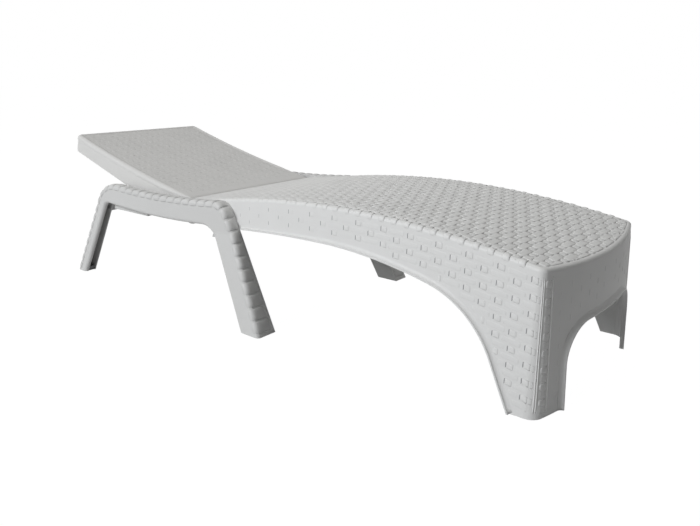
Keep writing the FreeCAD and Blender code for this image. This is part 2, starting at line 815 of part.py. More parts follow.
def make_backrest_shell():
    """The dished panel with its skirts, rolled hinge edge, ribs and bosses."""
    height = P.backrest_depth + S.overrun
    outer = backrest_block("backrest_outer", ZERO, height)
    floor_x = P.backrest_stock_x
    floor_z = P.head_floor_z + P.skirt_slope * S.overrun
    side_view = face_run(ZERO) + [(floor_x, floor_z)]
    side_view += [(-S.skirt_turn, -S.skirt_drop), (S.knuckle_radius, -S.skirt_drop)]
    trimmed = keep_inside(outer, "backrest_side", "XZ_Plane", side_view)
    round_edges(outer, "backrest_rounding", trimmed, on_face, S.top_edge_radius)

    hollow = backrest_block("backrest_hollow", -S.backrest_wall, height)
    floor = -P.backrest_depth
    inside = face_run(S.backrest_wall)
    inside += [(floor_x, floor), (S.knuckle_radius - S.backrest_wall, floor)]
    keep_inside(hollow, "backrest_hollow_side", "XZ_Plane", inside)
    skin = cut("backrest_skin", outer, hollow)

    additions = [make_backrest_ribs()]
    wall_y = P.backrest_half_width - S.skirt_drop * tangent(S.backrest_draft)
    boss_end = wall_y - S.backrest_wall / 2
    holes = []
    for label, low, high in (("left", P.pin_boss_y, boss_end), ("right", -boss_end, -P.pin_boss_y)):
        additions.append(rod(f"backrest_{label}_boss", S.hinge_boss_radius, ZERO, ZERO, low, high))
    for label, low, high in (("left", P.pin_boss_y, P.backrest_half_width),
                             ("right", -P.backrest_half_width, -P.pin_boss_y)):
        radius = S.hinge_pin_radius + S.running_gap
        holes.append(rod(f"backrest_{label}_bore", radius, ZERO, ZERO, low, high))
    half_length = S.clip_length / 2
    half_width = S.clip_width / 2
    seat_top = dish_z(P.pivot_x, S.backrest_wall / 2)
    for label, y in (("left", P.clip_offset), ("right", -P.clip_offset)):
        low = (P.pivot_x - half_length, y - half_width, S.clip_seat_height)
        high = (P.pivot_x + half_length, y + half_width, seat_top)
        additions.append(box(f"clip_{label}_seat", low, high))
        for number, along in enumerate((-S.clip_screw_spacing / 2, S.clip_screw_spacing / 2)):
            radius = S.clip_screw_radius + S.screw_clearance
            holes.append(post(f"clip_{label}_pilot_{number}", radius, P.pivot_x + along, y,
                              S.clip_seat_height - S.clip_flange, P.clip_screw_tip + S.screw_clearance))
    solid = fuse("backrest_with_bosses", skin, *additions)
    return hang("backrest_shell", cut("backrest_flat", solid, *holes))


def make_backrest_ribs():
    """Cross ribs and two long ribs under the backrest's face."""
    sunk = S.backrest_wall / 2
    stock = backrest_block("backrest_rib_stock", -sunk, P.backrest_depth + S.overrun)
    depth = S.backrest_wall + S.backrest_rib_depth
    front_x = -S.knuckle_radius
    far_x = P.backrest_stock_x
    corners = [
        (front_x, dish_z(front_x, sunk), S.backrest_dish_radius + sunk, -1),
        (far_x, dish_z(far_x, sunk)),
        (far_x, dish_z(far_x, depth), S.backrest_dish_radius + depth, 1),
        (front_x, dish_z(front_x, depth)),
    ]
    keep_inside(stock, "backrest_rib_side", "XZ_Plane", corners)
    slabs = []
    half = S.rib_thickness / 2
    for number in range(BACKREST_CROSS_RIBS):
        x = -S.knuckle_radius - S.backrest_rib_spacing * (number + 1)
        low = (x - half, -P.backrest_half_width, -P.backrest_depth)
        high = (x + half, P.backrest_half_width, P.backrest_depth)
        slabs.append(box(f"backrest_cross_rib_{number}", low, high))
    for number in (-1, 1):
        y = S.long_rib_spacing * number
        low = (far_x, y - half, -P.backrest_depth)
        high = (front_x, y + half, P.backrest_depth)
        slabs.append(box(f"backrest_long_rib_{number + 1}", low, high))
    return common("backrest_ribs", stock, fuse("backrest_rib_slabs", *slabs))


# Stay, its clips and rods

def set_stay_places():
    """Where the stay turns under the backrest and where its foot rod lies."""
    P.place("pivot_x", -S.stay_reach * cosine(S.stay_dip))
    P.place("pivot_z", -S.stay_reach * sine(S.stay_dip))
    P.place("pivot_rise", S.rest_angle - S.stay_dip)
    P.place("stay_x", S.hinge_x - S.stay_reach * cosine(P.pivot_rise))
    P.place("stay_z", S.hinge_height + S.stay_reach * sine(P.pivot_rise))
    P.place("stay_turn", -(P.pivot_rise + S.rack_slope * 2))
    P.place("clip_screw_tip", dish_z(P.pivot_x, S.backrest_wall) - S.screw_clearance)


def notch_reach(angle):
    """How far from the hinge the foot rod lies along the racks at a backrest angle."""
    return S.stay_reach * 2 * cosine(angle - S.stay_dip + S.rack_slope)


def make_clip(side, y):
    """A moulded saddle that holds the pivot rod against its seat."""
    body = DOC.addObject("PartDesign::Body", f"clip_{side}_body")
    sketch = new_sketch(body, f"clip_{side}_outline", "XZ_Plane", -y)
    half = S.clip_length / 2
    radius = S.clip_saddle_radius
    top = S.clip_seat_height
    flange = S.clip_seat_height - S.clip_flange
    x = P.pivot_x
    z = P.pivot_z
    draw(sketch, [
        (x - half, top),
        (x - half, flange),
        (x - radius, flange),
        (x - radius, z, radius, 1),
        (x, z - radius, radius, 1),
        (x + radius, z),
        (x + radius, flange),
        (x + half, flange),
        (x + half, top),
    ])
    pad(body, f"clip_{side}_pad", sketch, S.clip_width, both_sides=True)
    low = y - S.clip_width
    holes = [rod(f"clip_{side}_eye", S.pivot_rod_radius + S.running_gap, x, z, low, y + S.clip_width)]
    for number, along in enumerate((-S.clip_screw_spacing / 2, S.clip_screw_spacing / 2)):
        radius = S.clip_screw_radius + S.screw_clearance
        holes.append(post(f"clip_{side}_hole_{number}", radius, x + along, y, ZERO, top + S.overrun))
    return hang(f"stay_clip_{side}", cut(f"clip_{side}_flat", body, *holes))


def make_clip_screws():
    """Four pan-head screws that hold the clips."""
    screws = []
    for side in (-1, 1):
        for along in (-S.clip_screw_spacing / 2, S.clip_screw_spacing / 2):
            label = f"clip_screw_{len(screws)}"
            x = P.pivot_x + along
            y = P.clip_offset * side
            head_top = S.clip_seat_height - S.clip_flange - S.running_gap
            head = post(label + "_head", S.clip_screw_head_radius, x, y,
                        head_top - S.clip_screw_head, head_top)
            shank = post(label + "_shank", S.clip_screw_radius, x, y,
                         head_top - S.clip_screw_head / 2, P.clip_screw_tip)
            screws.append(fuse(label, head, shank))
    return hang("clip_screws", group("clip_screws_flat", *screws))


def make_pivot_rod():
    """The steel rod on which the stay turns."""
    solid = rod("pivot_rod_flat", S.pivot_rod_radius, P.pivot_x, P.pivot_z,
                -P.pivot_rod_half_length, P.pivot_rod_half_length)
    return hang("stay_pivot_rod", solid)


def make_stay_yoke():
    """Two arms joined by a brace, drawn with the pivot as origin."""
    arms = []
    radius = S.arm_eye_radius
    far = -S.stay_reach
    for side, y in (("left", P.arm_offset), ("right", -P.arm_offset)):
        body = DOC.addObject("PartDesign::Body", f"stay_arm_{side}")
        sketch = new_sketch(body, f"stay_arm_{side}_outline", "XZ_Plane", -y)
        draw(sketch, [
            (far, radius, radius, 1),
            (far - radius, ZERO, radius, 1),
            (far, -radius),
            (ZERO, -radius, radius, 1),
            (radius, ZERO, radius, 1),
            (ZERO, radius),
        ])
        pad(body, f"stay_arm_{side}_pad", sketch, S.arm_width, both_sides=True)
        arms.append(body)
    brace = rod("stay_brace", S.brace_radius, far / 2, ZERO, -P.arm_offset, P.arm_offset)
    end_y = P.arm_offset + S.arm_width
    eyes = [
        rod("stay_pivot_eyes", S.pivot_rod_radius + S.running_gap, ZERO, ZERO, -end_y, end_y),
        rod("stay_foot_eyes", S.foot_rod_radius + S.running_gap, far, ZERO, -end_y, end_y),
    ]
    carried = group("stay_yoke", cut("stay_flat", fuse("stay_frame", *arms, brace), *eyes))
    put(carried, P.stay_x, ZERO, P.stay_z, P.stay_turn)
    return carried


def make_foot_rod():
    """The steel rod across the stay's foot, which lies in the racks."""
    solid = rod("foot_rod_flat", S.foot_rod_radius, -S.stay_reach, ZERO,
                -P.foot_rod_half_length, P.foot_rod_half_length)
    carried = group("stay_foot_rod", solid)
    put(carried, P.stay_x, ZERO, P.stay_z, P.stay_turn)
    return carried


# Side frames

def frame_inner_y(z):
    """The frame's inner face, a small gap outside the drafted wall of the seat."""
    return S.seat_half_width + S.seat_gap - z * tangent(S.wall_draft)


def meet(foot_x, slope, centre_z, radius):
    """Corner where a leaning leg line reaches the rail's arc, below the arc's centre."""
    offset = foot_x - S.rail_low_x
    a = slope * slope + 1
    b = slope * offset - centre_z
    c = offset * offset + centre_z * centre_z - radius * radius
    z = (-b - root(b * b - a * c)) / a
    return foot_x + slope * z, z


def frame_outline(name, inset, gape, floor):
    """Corners of the side frame's side view, its back inset and its open side moved."""
    centre_z = P.rail_top_height + S.rail_radius
    top = P.place(name + "_top_radius", S.rail_radius + inset)
    bottom = P.place(name + "_bottom_radius", S.rail_radius + S.rail_depth + gape)
    rear = tangent(S.rear_leg_lean)
    front = -tangent(S.mid_leg_front_lean)
    back = -tangent(S.mid_leg_back_lean)
    rear_out = S.rear_foot_back + inset / cosine(S.rear_leg_lean)
    rear_in = S.rear_foot_front + gape / cosine(S.rear_leg_lean)
    mid_out = S.mid_foot_front - inset / cosine(S.mid_leg_front_lean)
    mid_in = S.mid_foot_back - gape / cosine(S.mid_leg_back_lean)
    turns = []
    lines = ((rear_out, rear, top), (mid_out, front, top), (mid_in, back, bottom), (rear_in, rear, bottom))
    for number, (foot_x, slope, radius) in enumerate(lines):
        x, z = meet(foot_x, slope, centre_z, radius)
        turns.append((P.place(f"{name}_x_{number}", x), P.place(f"{name}_z_{number}", z)))
    rear_top, mid_top, mid_bottom, rear_bottom = turns
    corners = [
        (rear_out + rear * floor, floor),
        (*rear_top, top, 1),
        mid_top,
        (mid_out + front * floor, floor),
        (mid_in + back * floor, floor),
        (*mid_bottom, bottom, -1),
        rear_bottom,
        (rear_in + rear * floor, floor),
    ]
    legs = {
        "mid": ((mid_out, front), (mid_in, back), P.mid_foot_outer),
        "rear": ((rear_in, rear), (rear_out, rear), P.rear_foot_outer),
    }
    return corners, turns, legs


def break_rim(body, name, base, outer_y, rim, kind):
    """Round or bevel the edges around the outer face of a frame's block, those at its ends left out."""

    def on_rim(edge):
        level = edge.BoundBox.ZLength < S.running_gap.value
        on_face = all(abs(outer_y(point.z) - point.y) < S.running_gap.value for point in edge.discretize(5))
        return on_face and not level

    round_edges(body, name + "_rim", base, on_rim, rim, kind)


def frame_arch(name, outline, inset, wall, floor, bends, rim=None, kind="Fillet"):
    """The block between the seat and the rail's outer face, with rounded bends."""
    body = DOC.addObject("PartDesign::Body", name)
    sketch = new_sketch(body, name + "_outline", "XZ_Plane")
    corners, turns, _ = outline
    draw(sketch, corners)
    block = pad(body, name + "_pad", sketch, P.mid_foot_outer * 2 + S.overrun * 2, both_sides=True)
    for number, (corner, radius) in enumerate(zip(turns, bends)):

        def at_bend(edge, corner=corner):
            spot = edge.BoundBox.Center
            slim = edge.BoundBox.XLength < S.running_gap.value
            near_x = abs(spot.x - corner[0].value) < S.running_gap.value
            near_z = abs(spot.z - corner[1].value) < S.running_gap.value
            return slim and near_x and near_z

        block = round_edges(body, f"{name}_bend_{number}", block, at_bend, radius)
    top_z = P.rail_top_height + S.rail_depth
    low_z = floor - S.overrun
    outer_y = P.rail_outer - inset
    view = [
        (frame_inner_y(low_z) + wall, low_z),
        (outer_y, low_z),
        (outer_y, top_z),
        (frame_inner_y(top_z) + wall, top_z),
    ]
    trimmed = keep_inside(body, name + "_view", "YZ_Plane", view)
    if rim is not None:
        break_rim(body, name, trimmed, lambda z: outer_y.value, rim, kind)
    return body


def frame_leg(name, leg, inset, wall, floor, top, rim=None, kind="Fillet"):
    """The block of one leg between the seat and its splayed outer face."""
    (first_x, first_slope), (last_x, last_slope), foot_outer = leg
    body = DOC.addObject("PartDesign::Body", name)
    sketch = new_sketch(body, name + "_outline", "XZ_Plane")
    draw(sketch, [
        (first_x + first_slope * floor, floor),
        (first_x + first_slope * top, top),
        (last_x + last_slope * top, top),
        (last_x + last_slope * floor, floor),
    ])
    pad(body, name + "_pad", sketch, P.mid_foot_outer * 2 + S.overrun * 2, both_sides=True)
    flare = (foot_outer - P.rail_outer) / P.splay_height
    low_z = floor - S.overrun
    high_z = top + S.overrun
    view = [
        (frame_inner_y(low_z) + wall, low_z),
        (foot_outer - inset - flare * low_z, low_z),
        (foot_outer - inset - flare * high_z, high_z),
        (frame_inner_y(high_z) + wall, high_z),
    ]
    trimmed = keep_inside(body, name + "_view", "YZ_Plane", view)
    if rim is not None:
        outer_foot = foot_outer.value - inset.value
        break_rim(body, name, trimmed, lambda z: outer_foot - flare.value * z, rim, kind)
    return body


def frame_block(name, outline, inset, wall, floor, bends, rim=None, kind="Fillet"):
    """The arch and its two splayed legs."""
    top = P.splay_height + S.overrun
    blocks = [frame_arch(name + "_arch", outline, inset, wall, floor, bends, rim, kind)]
    for label, leg in outline[2].items():
        blocks.append(frame_leg(f"{name}_{label}", leg, inset, wall, floor, top, rim, kind))
    return blocks


def make_side_frame(outlines):
    """One inverted-U channel frame, its outer rims rolled in, with its hinge boss and notched rack."""
    rim = S.frame_edge_radius
    wall = S.frame_wall
    below = -S.overrun
    bends = (S.rear_bend_outer, S.front_bend_outer, S.front_bend_inner, S.rear_bend_inner)
    solid = fuse("frame_solid", *frame_block("frame_solid", outlines["solid"], ZERO, ZERO, ZERO, bends, rim))
    bends = (S.rear_bend_outer - wall, S.front_bend_outer - wall,
             S.front_bend_inner + wall, S.rear_bend_inner + wall)
    bevel = rim / 2
    hollow = frame_block("frame_hollow", outlines["hollow"], wall, wall, below, bends, bevel, "Chamfer")
    bends = (S.rear_bend_outer - rim, S.front_bend_outer - rim)
    mouth = frame_block("frame_mouth", outlines["mouth"], rim, wall, below, bends)
    channel = cut("frame_channel", solid, *hollow, *mouth)

    boss_face = P.backrest_half_width + S.seat_gap
    boss_face -= (S.skirt_drop - S.hinge_boss_radius) * tangent(S.backrest_draft)
    boss_end = frame_inner_y(S.hinge_height) + S.frame_wall / 2
    boss = rod("frame_boss", S.hinge_boss_radius, S.hinge_x, S.hinge_height, boss_face, boss_end)
    holes = [rod("frame_bore", S.hinge_pin_radius + S.running_gap, S.hinge_x, S.hinge_height,
                 P.arm_offset, P.rail_outer - S.frame_wall)]
    for label, x in (("rear", S.seat_bolt_rear_x), ("front", S.seat_bolt_front_x)):
        holes.append(rod(f"frame_{label}_hole", S.seat_bolt_radius + S.bolt_clearance, x,
                         P.seat_bolt_height, P.arm_offset, P.rail_outer - S.frame_wall))
    for label, x in (("a", P.cross_screw_rear_x), ("b", P.cross_screw_front_x)):
        holes.append(rod(f"frame_bar_hole_{label}", S.cross_bar_screw_radius + S.screw_clearance, x,
                         P.cross_bar_middle_z, P.arm_offset, P.rail_outer - S.frame_wall))
    rib_stock = frame_arch("frame_rib_stock", outlines["rib"], wall / 2, wall / 2, below, ())
    ribs = common("frame_ribs", rib_stock, make_frame_rib_slabs())
    whole = fuse("frame_whole", channel, ribs, boss, *make_rack())
    return cut("side_frame_left", whole, *holes)


def make_frame_rib_slabs():
    """Upright plates across the rail's channel."""
    slabs = []
    half = S.rib_thickness / 2
    low_y = frame_inner_y(P.rail_top_height) - S.overrun
    high_y = P.mid_foot_outer
    for number in range(RAIL_RIBS):
        x = S.rail_low_x + S.rail_rib_spacing * (number - (RAIL_RIBS - 1) / 2)
        low = (x - half, low_y, P.splay_height)
        slabs.append(box(f"rail_rib_{number}", low, (x + half, high_y, P.rail_top_height)))
    return fuse("frame_rib_slabs", *slabs)


def rack_z(x):
    """Height of the foot rod's path at a place along the racks."""
    return S.hinge_height - (S.hinge_x - x) * tangent(S.rack_slope)


def make_rack():
    """A shelf below the rail's inner wall and the notched ridge that stands on it."""
    along = cosine(S.rack_slope)
    rear_x = P.rack_rear_x
    front_x = P.rack_front_x
    shelf_floor = P.shelf_floor
    wall_y = frame_inner_y(shelf_floor) + S.seat_gap
    wall_end = wall_y + S.frame_wall
    shelf = box("rack_shelf", (rear_x, P.rack_inner, shelf_floor), (front_x, wall_end, P.shelf_top))
    lift = box("rack_wall", (rear_x, wall_y, shelf_floor), (front_x, wall_end, P.rack_wall_top))
    body = DOC.addObject("PartDesign::Body", "rack_ridge")
    middle_y = P.rack_inner + S.rack_ridge_width / 2
    sketch = new_sketch(body, "rack_ridge_outline", "XZ_Plane", -middle_y)
    drop = (S.foot_rod_radius + S.rod_clearance) / along
    draw(sketch, [
        (rear_x, shelf_floor),
        (front_x, shelf_floor),
        (front_x, rack_z(front_x) - drop),
        (rear_x, rack_z(rear_x) - drop),
    ])
    pad(body, "rack_ridge_pad", sketch, S.rack_ridge_width, both_sides=True)
    notches = []
    for alias in NOTCH_ANGLES:
        reach = notch_reach(getattr(S, alias))
        x = S.hinge_x - reach * along
        z = rack_z(x) - S.rack_notch_depth
        radius = S.foot_rod_radius + S.rod_clearance
        notches.append(rod(f"notch_{alias}", radius, x, z, P.rack_inner - S.overrun,
                           P.rack_inner + S.rack_ridge_width))
    return [shelf, lift, cut("rack_teeth", body, *notches)]


def make_foot_plugs(outlines):
    """Plugs that close the foot of each leg of the left frame."""
    inset = S.frame_wall + S.seat_gap
    plugs = {}
    for label, leg in outlines["plug"][2].items():
        plugs[label] = frame_leg(f"foot_plug_{label}_left", leg, inset, inset, ZERO,
                                 S.foot_plug_height, S.frame_edge_radius / 2, "Chamfer")
    return plugs


# Cross bar, pins and fasteners

def set_frame_places():
    """Places shared by the frames, the cross bar and the fasteners, and the frames' side views."""
    P.place("cross_bar_floor", P.cross_bar_top - S.cross_bar_depth)
    P.place("cross_bar_middle_z", P.cross_bar_floor + S.cross_bar_depth / 2)
    P.place("cross_bar_end_y", frame_inner_y(P.cross_bar_top) - S.seat_gap)
    P.place("cross_screw_rear_x", S.cross_bar_x - S.cross_bar_screw_spacing / 2)
    P.place("cross_screw_front_x", S.cross_bar_x + S.cross_bar_screw_spacing / 2)
    along = cosine(S.rack_slope)
    P.place("rack_rear_x", S.hinge_x - notch_reach(S.rest_angle) * along - S.rack_end_margin)
    P.place("rack_front_x", S.hinge_x - notch_reach(S.highest_angle) * along + S.rack_end_margin)
    P.place("shelf_floor", P.shelf_top - S.shelf_thickness)
    P.place("rack_wall_top", P.rail_top_height - S.rail_depth + S.overrun)
    nut_foot = P.seat_bolt_height - S.seat_nut_radius
    P.place("channel_face_y", frame_inner_y(nut_foot) + S.frame_wall + S.running_gap)
    below = -S.overrun
    plug_inset = S.frame_wall + S.seat_gap
    return {
        "solid": frame_outline("frame_solid", ZERO, ZERO, ZERO),
        "hollow": frame_outline("frame_hollow", S.frame_wall, -S.frame_wall, below),
        "mouth": frame_outline("frame_mouth", S.frame_edge_radius, S.rail_depth / 2, below),
        "rib": frame_outline("frame_rib", S.frame_edge_radius, -S.frame_edge_radius, below),
        "plug": frame_outline("foot_plug", plug_inset, -plug_inset, ZERO),
    }


def make_cross_bar():
    """A trough-shaped bar with solid ends that ties the side frames together."""
    half = S.cross_bar_length / 2
    end = P.cross_bar_end_y
    low_x = S.cross_bar_x - half
    high_x = S.cross_bar_x + half
    block = box("cross_bar_block", (low_x, -end, P.cross_bar_floor), (high_x, end, P.cross_bar_top))
    rounded = DOC.addObject("Part::Fillet", "cross_bar_rounded")
    rounded.Base = block
    DOC.recompute()
    radius = S.cross_bar_edge.value
    edges = enumerate(block.Shape.Edges)
    long_edges = [number + 1 for number, edge in edges if edge.BoundBox.YLength > end.value]
    rounded.Edges = [(number, radius, radius) for number in long_edges]
    wall = S.cross_bar_wall
    inner = S.cross_bar_end_block - end
    trough = box("cross_bar_trough", (low_x + wall, inner, P.cross_bar_floor - S.overrun),
                 (high_x - wall, -inner, P.cross_bar_top - wall))
    tools = [trough]
    depth = S.cross_bar_end_block
    for label, x in (("a", P.cross_screw_rear_x), ("b", P.cross_screw_front_x)):
        radius = S.cross_bar_screw_radius + S.screw_clearance
        tools.append(rod(f"bar_left_pilot_{label}", radius, x, P.cross_bar_middle_z, end - depth, end))
        tools.append(rod(f"bar_right_pilot_{label}", radius, x, P.cross_bar_middle_z, -end, depth - end))
    return cut("cross_bar", rounded, *tools)


def two_sides(name, makers):
    """Pieces of the left side and their mirror images as one group."""
    lefts = list(makers)
    rights = [mirrored(f"{piece.Name}_twin", piece) for piece in lefts]
    return group(name, *lefts, *rights)


def make_cross_bar_screws():
    """Screws from inside the rear legs into the cross bar's ends."""
    screws = []
    head_y = frame_inner_y(P.cross_bar_floor) + S.frame_wall + S.seat_gap
    for label, x in (("a", P.cross_screw_rear_x), ("b", P.cross_screw_front_x)):
        z = P.cross_bar_middle_z
        head = hexagon(f"bar_screw_head_{label}", S.cross_bar_screw_head_radius, x, z,
                       head_y, head_y + S.cross_bar_screw_head)
        tip_y = P.cross_bar_end_y - S.cross_bar_end_block + S.cross_bar_wall
        shank = rod(f"bar_screw_shank_{label}", S.cross_bar_screw_radius, x, z,
                    tip_y, head_y + S.cross_bar_screw_head / 2)
        screws.append(fuse(f"bar_screw_{label}", head, shank))
    return two_sides("cross_bar_screws", screws)


def make_hinge_pin():
    """A headed pin from the rail's inner wall into the backrest's boss."""
    head_y = frame_inner_y(S.hinge_height - S.hinge_pin_head_radius) + S.frame_wall + S.running_gap
    head = rod("hinge_pin_head_solid", S.hinge_pin_head_radius, S.hinge_x, S.hinge_height,
               head_y, head_y + S.hinge_pin_head)
    shank = rod("hinge_pin_shank", S.hinge_pin_radius, S.hinge_x, S.hinge_height,
                P.pin_boss_y + S.running_gap, head_y + S.hinge_pin_head / 2)
    return fuse("hinge_pin_left", head, shank)


def make_seat_bolts():
    """Bolts through the seat's skirts and the rails' inner walls."""
    head_top = P.seat_bolt_height + S.seat_bolt_head_radius
    head_end = S.seat_half_width - head_top * tangent(S.wall_draft) - S.seat_wall - S.running_gap
    tip = P.channel_face_y + S.seat_nut_thickness + S.seat_gap
    bolts = []
    for label, x in (("rear", S.seat_bolt_rear_x), ("front", S.seat_bolt_front_x)):
        head = hexagon(f"bolt_head_{label}", S.seat_bolt_head_radius, x, P.seat_bolt_height,
                       head_end - S.seat_bolt_head, head_end)
        shank = rod(f"bolt_shank_{label}", S.seat_bolt_radius, x, P.seat_bolt_height,
                    head_end - S.seat_bolt_head / 2, tip)
        bolts.append(fuse(f"seat_bolt_{label}", head, shank))
    return two_sides("seat_bolts", bolts)


def make_seat_nuts():
    """Hexagon nuts inside the rails."""
    nuts = []
    for label, x in (("rear", S.seat_bolt_rear_x), ("front", S.seat_bolt_front_x)):
        prism = hexagon(f"nut_prism_{label}", S.seat_nut_radius, x, P.seat_bolt_height,
                        P.channel_face_y, P.channel_face_y + S.seat_nut_thickness)
        bore = rod(f"nut_bore_{label}", S.seat_bolt_radius + S.running_gap, x, P.seat_bolt_height,
                   P.arm_offset, P.rail_outer)
        nuts.append(cut(f"seat_nut_{label}", prism, bore))
    return two_sides("seat_nuts", nuts)


def build():
    """Make every piece and hand them back in the order of their names."""
    set_width_places()
    set_height_places()
    set_seat_places()
    set_backrest_places()
    set_stay_places()
    outlines = set_frame_places()
    pieces = [
        make_seat_shell(),
        make_backrest_shell(),
        make_clip("left", P.clip_offset),
        make_clip("right", -P.clip_offset),
        make_clip_screws(),
        make_pivot_rod(),
        make_stay_yoke(),
        make_foot_rod(),
        make_cross_bar(),
        make_cross_bar_screws(),
        make_seat_bolts(),
        make_seat_nuts(),
    ]
    frame = make_side_frame(outlines)
    pin = make_hinge_pin()
    pieces += [frame, mirrored("side_frame_right", frame), pin, mirrored("hinge_pin_right", pin)]
    for label, plug in make_foot_plugs(outlines).items():
        pieces += [plug, mirrored(f"foot_plug_{label}_right", plug)]
    return pieces


def check(pieces):
    """Stop where an object failed or a piece is not a sound solid."""
    for item in DOC.Objects:
        if "Invalid" in item.State or "Error" in item.State:
            raise RuntimeError(f"{item.Name} failed to build: {item.State}")
    for piece in pieces:
        if piece.Shape.isNull() or not piece.Shape.isValid() or not piece.Shape.Solids:
            raise RuntimeError(f"{piece.Name} is not a sound solid")


def write(pieces):
    """Write each piece to its own file."""
    os.makedirs(PARTS, exist_ok=True)
    for piece in pieces:
        piece.Label = piece.Name
        piece.Shape.exportStep(os.path.join(PARTS, f"{piece.Label}.step"))
        print(f"{piece.Label}: {len(piece.Shape.Solids)} solids, {piece.Shape.Volume:.0f} mm3")


PIECES = build()
DOC.recompute()
check(PIECES)
write(PIECES)
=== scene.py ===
import logging
import math
from dataclasses import dataclass
from enum import Enum
from functools import partial
from typing import Any, Callable, Iterator, Sequence

import bpy
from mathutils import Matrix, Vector


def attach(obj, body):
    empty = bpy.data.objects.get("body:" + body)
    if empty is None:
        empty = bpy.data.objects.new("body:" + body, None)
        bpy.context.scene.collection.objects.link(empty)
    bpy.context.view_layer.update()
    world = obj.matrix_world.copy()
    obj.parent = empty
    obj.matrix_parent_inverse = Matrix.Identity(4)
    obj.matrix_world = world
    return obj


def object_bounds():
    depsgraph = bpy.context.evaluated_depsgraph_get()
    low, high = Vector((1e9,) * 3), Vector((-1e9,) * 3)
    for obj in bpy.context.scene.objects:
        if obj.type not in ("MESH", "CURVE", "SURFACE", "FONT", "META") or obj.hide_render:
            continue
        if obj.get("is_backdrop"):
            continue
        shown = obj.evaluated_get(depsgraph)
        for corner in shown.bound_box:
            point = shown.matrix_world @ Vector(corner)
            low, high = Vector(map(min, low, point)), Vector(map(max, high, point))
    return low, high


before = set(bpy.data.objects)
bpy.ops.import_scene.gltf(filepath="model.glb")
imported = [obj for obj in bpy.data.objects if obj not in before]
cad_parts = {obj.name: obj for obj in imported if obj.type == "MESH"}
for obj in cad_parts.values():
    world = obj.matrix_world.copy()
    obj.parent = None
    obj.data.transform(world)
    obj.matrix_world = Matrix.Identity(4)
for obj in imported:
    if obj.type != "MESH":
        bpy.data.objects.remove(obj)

CAD_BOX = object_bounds()
LOG = logging.getLogger("lounger")

Colour = tuple[float, float, float]
Point = tuple[float, float, float]
Face = tuple[int, ...]
SurfacePoint = Callable[[float, float], Vector]

WHITE = (1.0, 1.0, 1.0, 1.0)


# Shared steps

def make_node(tree: bpy.types.NodeTree, kind: str, settings: dict[str, Any]) -> bpy.types.Node:
    """Add a node to a tree.

    Args:
        tree: The node tree.
        kind: The node's type.
        settings: Properties of the node.

    Returns:
        The new node.
    """
    made = tree.nodes.new(kind)
    for key, value in settings.items():
        setattr(made, key, value)
    return made


def feed(tree: bpy.types.NodeTree, slot: bpy.types.NodeSocket, value: Any) -> None:
    """Link or set one input of a node.

    Args:
        tree: The node tree.
        slot: The input.
        value: A Wire, an output socket or a plain value.
    """
    if isinstance(value, Wire):
        tree.links.new(value.socket, slot)
    elif isinstance(value, bpy.types.NodeSocket):
        tree.links.new(value, slot)
    else:
        slot.default_value = value


def place(name: str, data: Any) -> bpy.types.Object:
    """Put an object with the given data into the scene, at the origin."""
    made = bpy.data.objects.new(name, data)
    bpy.context.scene.collection.objects.link(made)
    return made


def solid(name: str, points: Sequence[Vector], faces: Sequence[Face],
          material: bpy.types.Material) -> bpy.types.Object:
    """Make a smooth piece.

    Args:
        name: The piece's name.
        points: Its corners.
        faces: Its faces as corner numbers.
        material: Its material.

    Returns:
        The piece at the origin.
    """
    mesh = bpy.data.meshes.new(name)
    mesh.from_pydata(points, [], faces)
    mesh.materials.append(material)
    mesh.shade_smooth()
    LOG.info("%s: %d faces", name, len(faces))
    return place(name, mesh)


def tube_faces(start: int, count: int, size: int) -> list[Face]:
    """Faces of a closed tube through loops of points that follow each other.

    Args:
        start: Number of the first loop's first point.
        count: How many loops there are.
        size: Points of a loop.

    Returns:
        The two end caps, then the faces between the loops.
    """
    loops = [tuple(range(start + k * size, start + (k + 1) * size)) for k in range(count)]
    faces: list[Face] = [loops[0], loops[-1][::-1]]
    for near, far in zip(loops, loops[1:]):
        for k in range(size):
            following = (k + 1) % size
            faces.append((near[k], far[k], far[following], near[following]))
    return faces


# Shader maths

class Wire:
    """A value socket of a shader tree that takes part in Python expressions."""

    def __init__(self, tree: bpy.types.NodeTree, socket: bpy.types.NodeSocket) -> None:
        """Keep the socket.

        Args:
            tree: The node tree that the socket belongs to.
            socket: An output socket that carries one number per point.
        """
        self.tree = tree
        self.socket = socket

    def combine(self, operation: str, other: "Wire | float") -> "Wire":
        """Add one Math node.

        Args:
            operation: The Math node's operation.
            other: The second operand.

        Returns:
            The node's result.
        """
        node = make_node(self.tree, "ShaderNodeMath", {"operation": operation})
        feed(self.tree, node.inputs[0], self)
        feed(self.tree, node.inputs[1], other)
        return Wire(self.tree, node.outputs[0])

    def __add__(self, other: "Wire | float") -> "Wire":
        """Sum."""
        return self.combine("ADD", other)

    def __sub__(self, other: "Wire | float") -> "Wire":
        """Difference."""
        return self.combine("SUBTRACT", other)

    def __mul__(self, other: "Wire | float") -> "Wire":
        """Product."""
        return self.combine("MULTIPLY", other)

    def __pow__(self, other: float) -> "Wire":
        """Power."""
        return self.combine("POWER", other)

    def size(self) -> "Wire":
        """Absolute value."""
        return self.combine("ABSOLUTE", 0.0)

    def at_least(self, low: float) -> "Wire":
        """The larger of the value and a number."""
        return self.combine("MAXIMUM", low)


def seen_rays(tree: bpy.types.NodeTree) -> Wire:
    """1 on rays that show the background, 0 on rays that light the lounger."""
    path = make_node(tree, "ShaderNodeLightPath", {})
    camera, glossy, through = (Wire(tree, path.outputs[name])
                               for name in ("Is Camera Ray", "Is Glossy Ray", "Is Transmission Ray"))
    return (camera + glossy + through).combine("MINIMUM", 1.0)


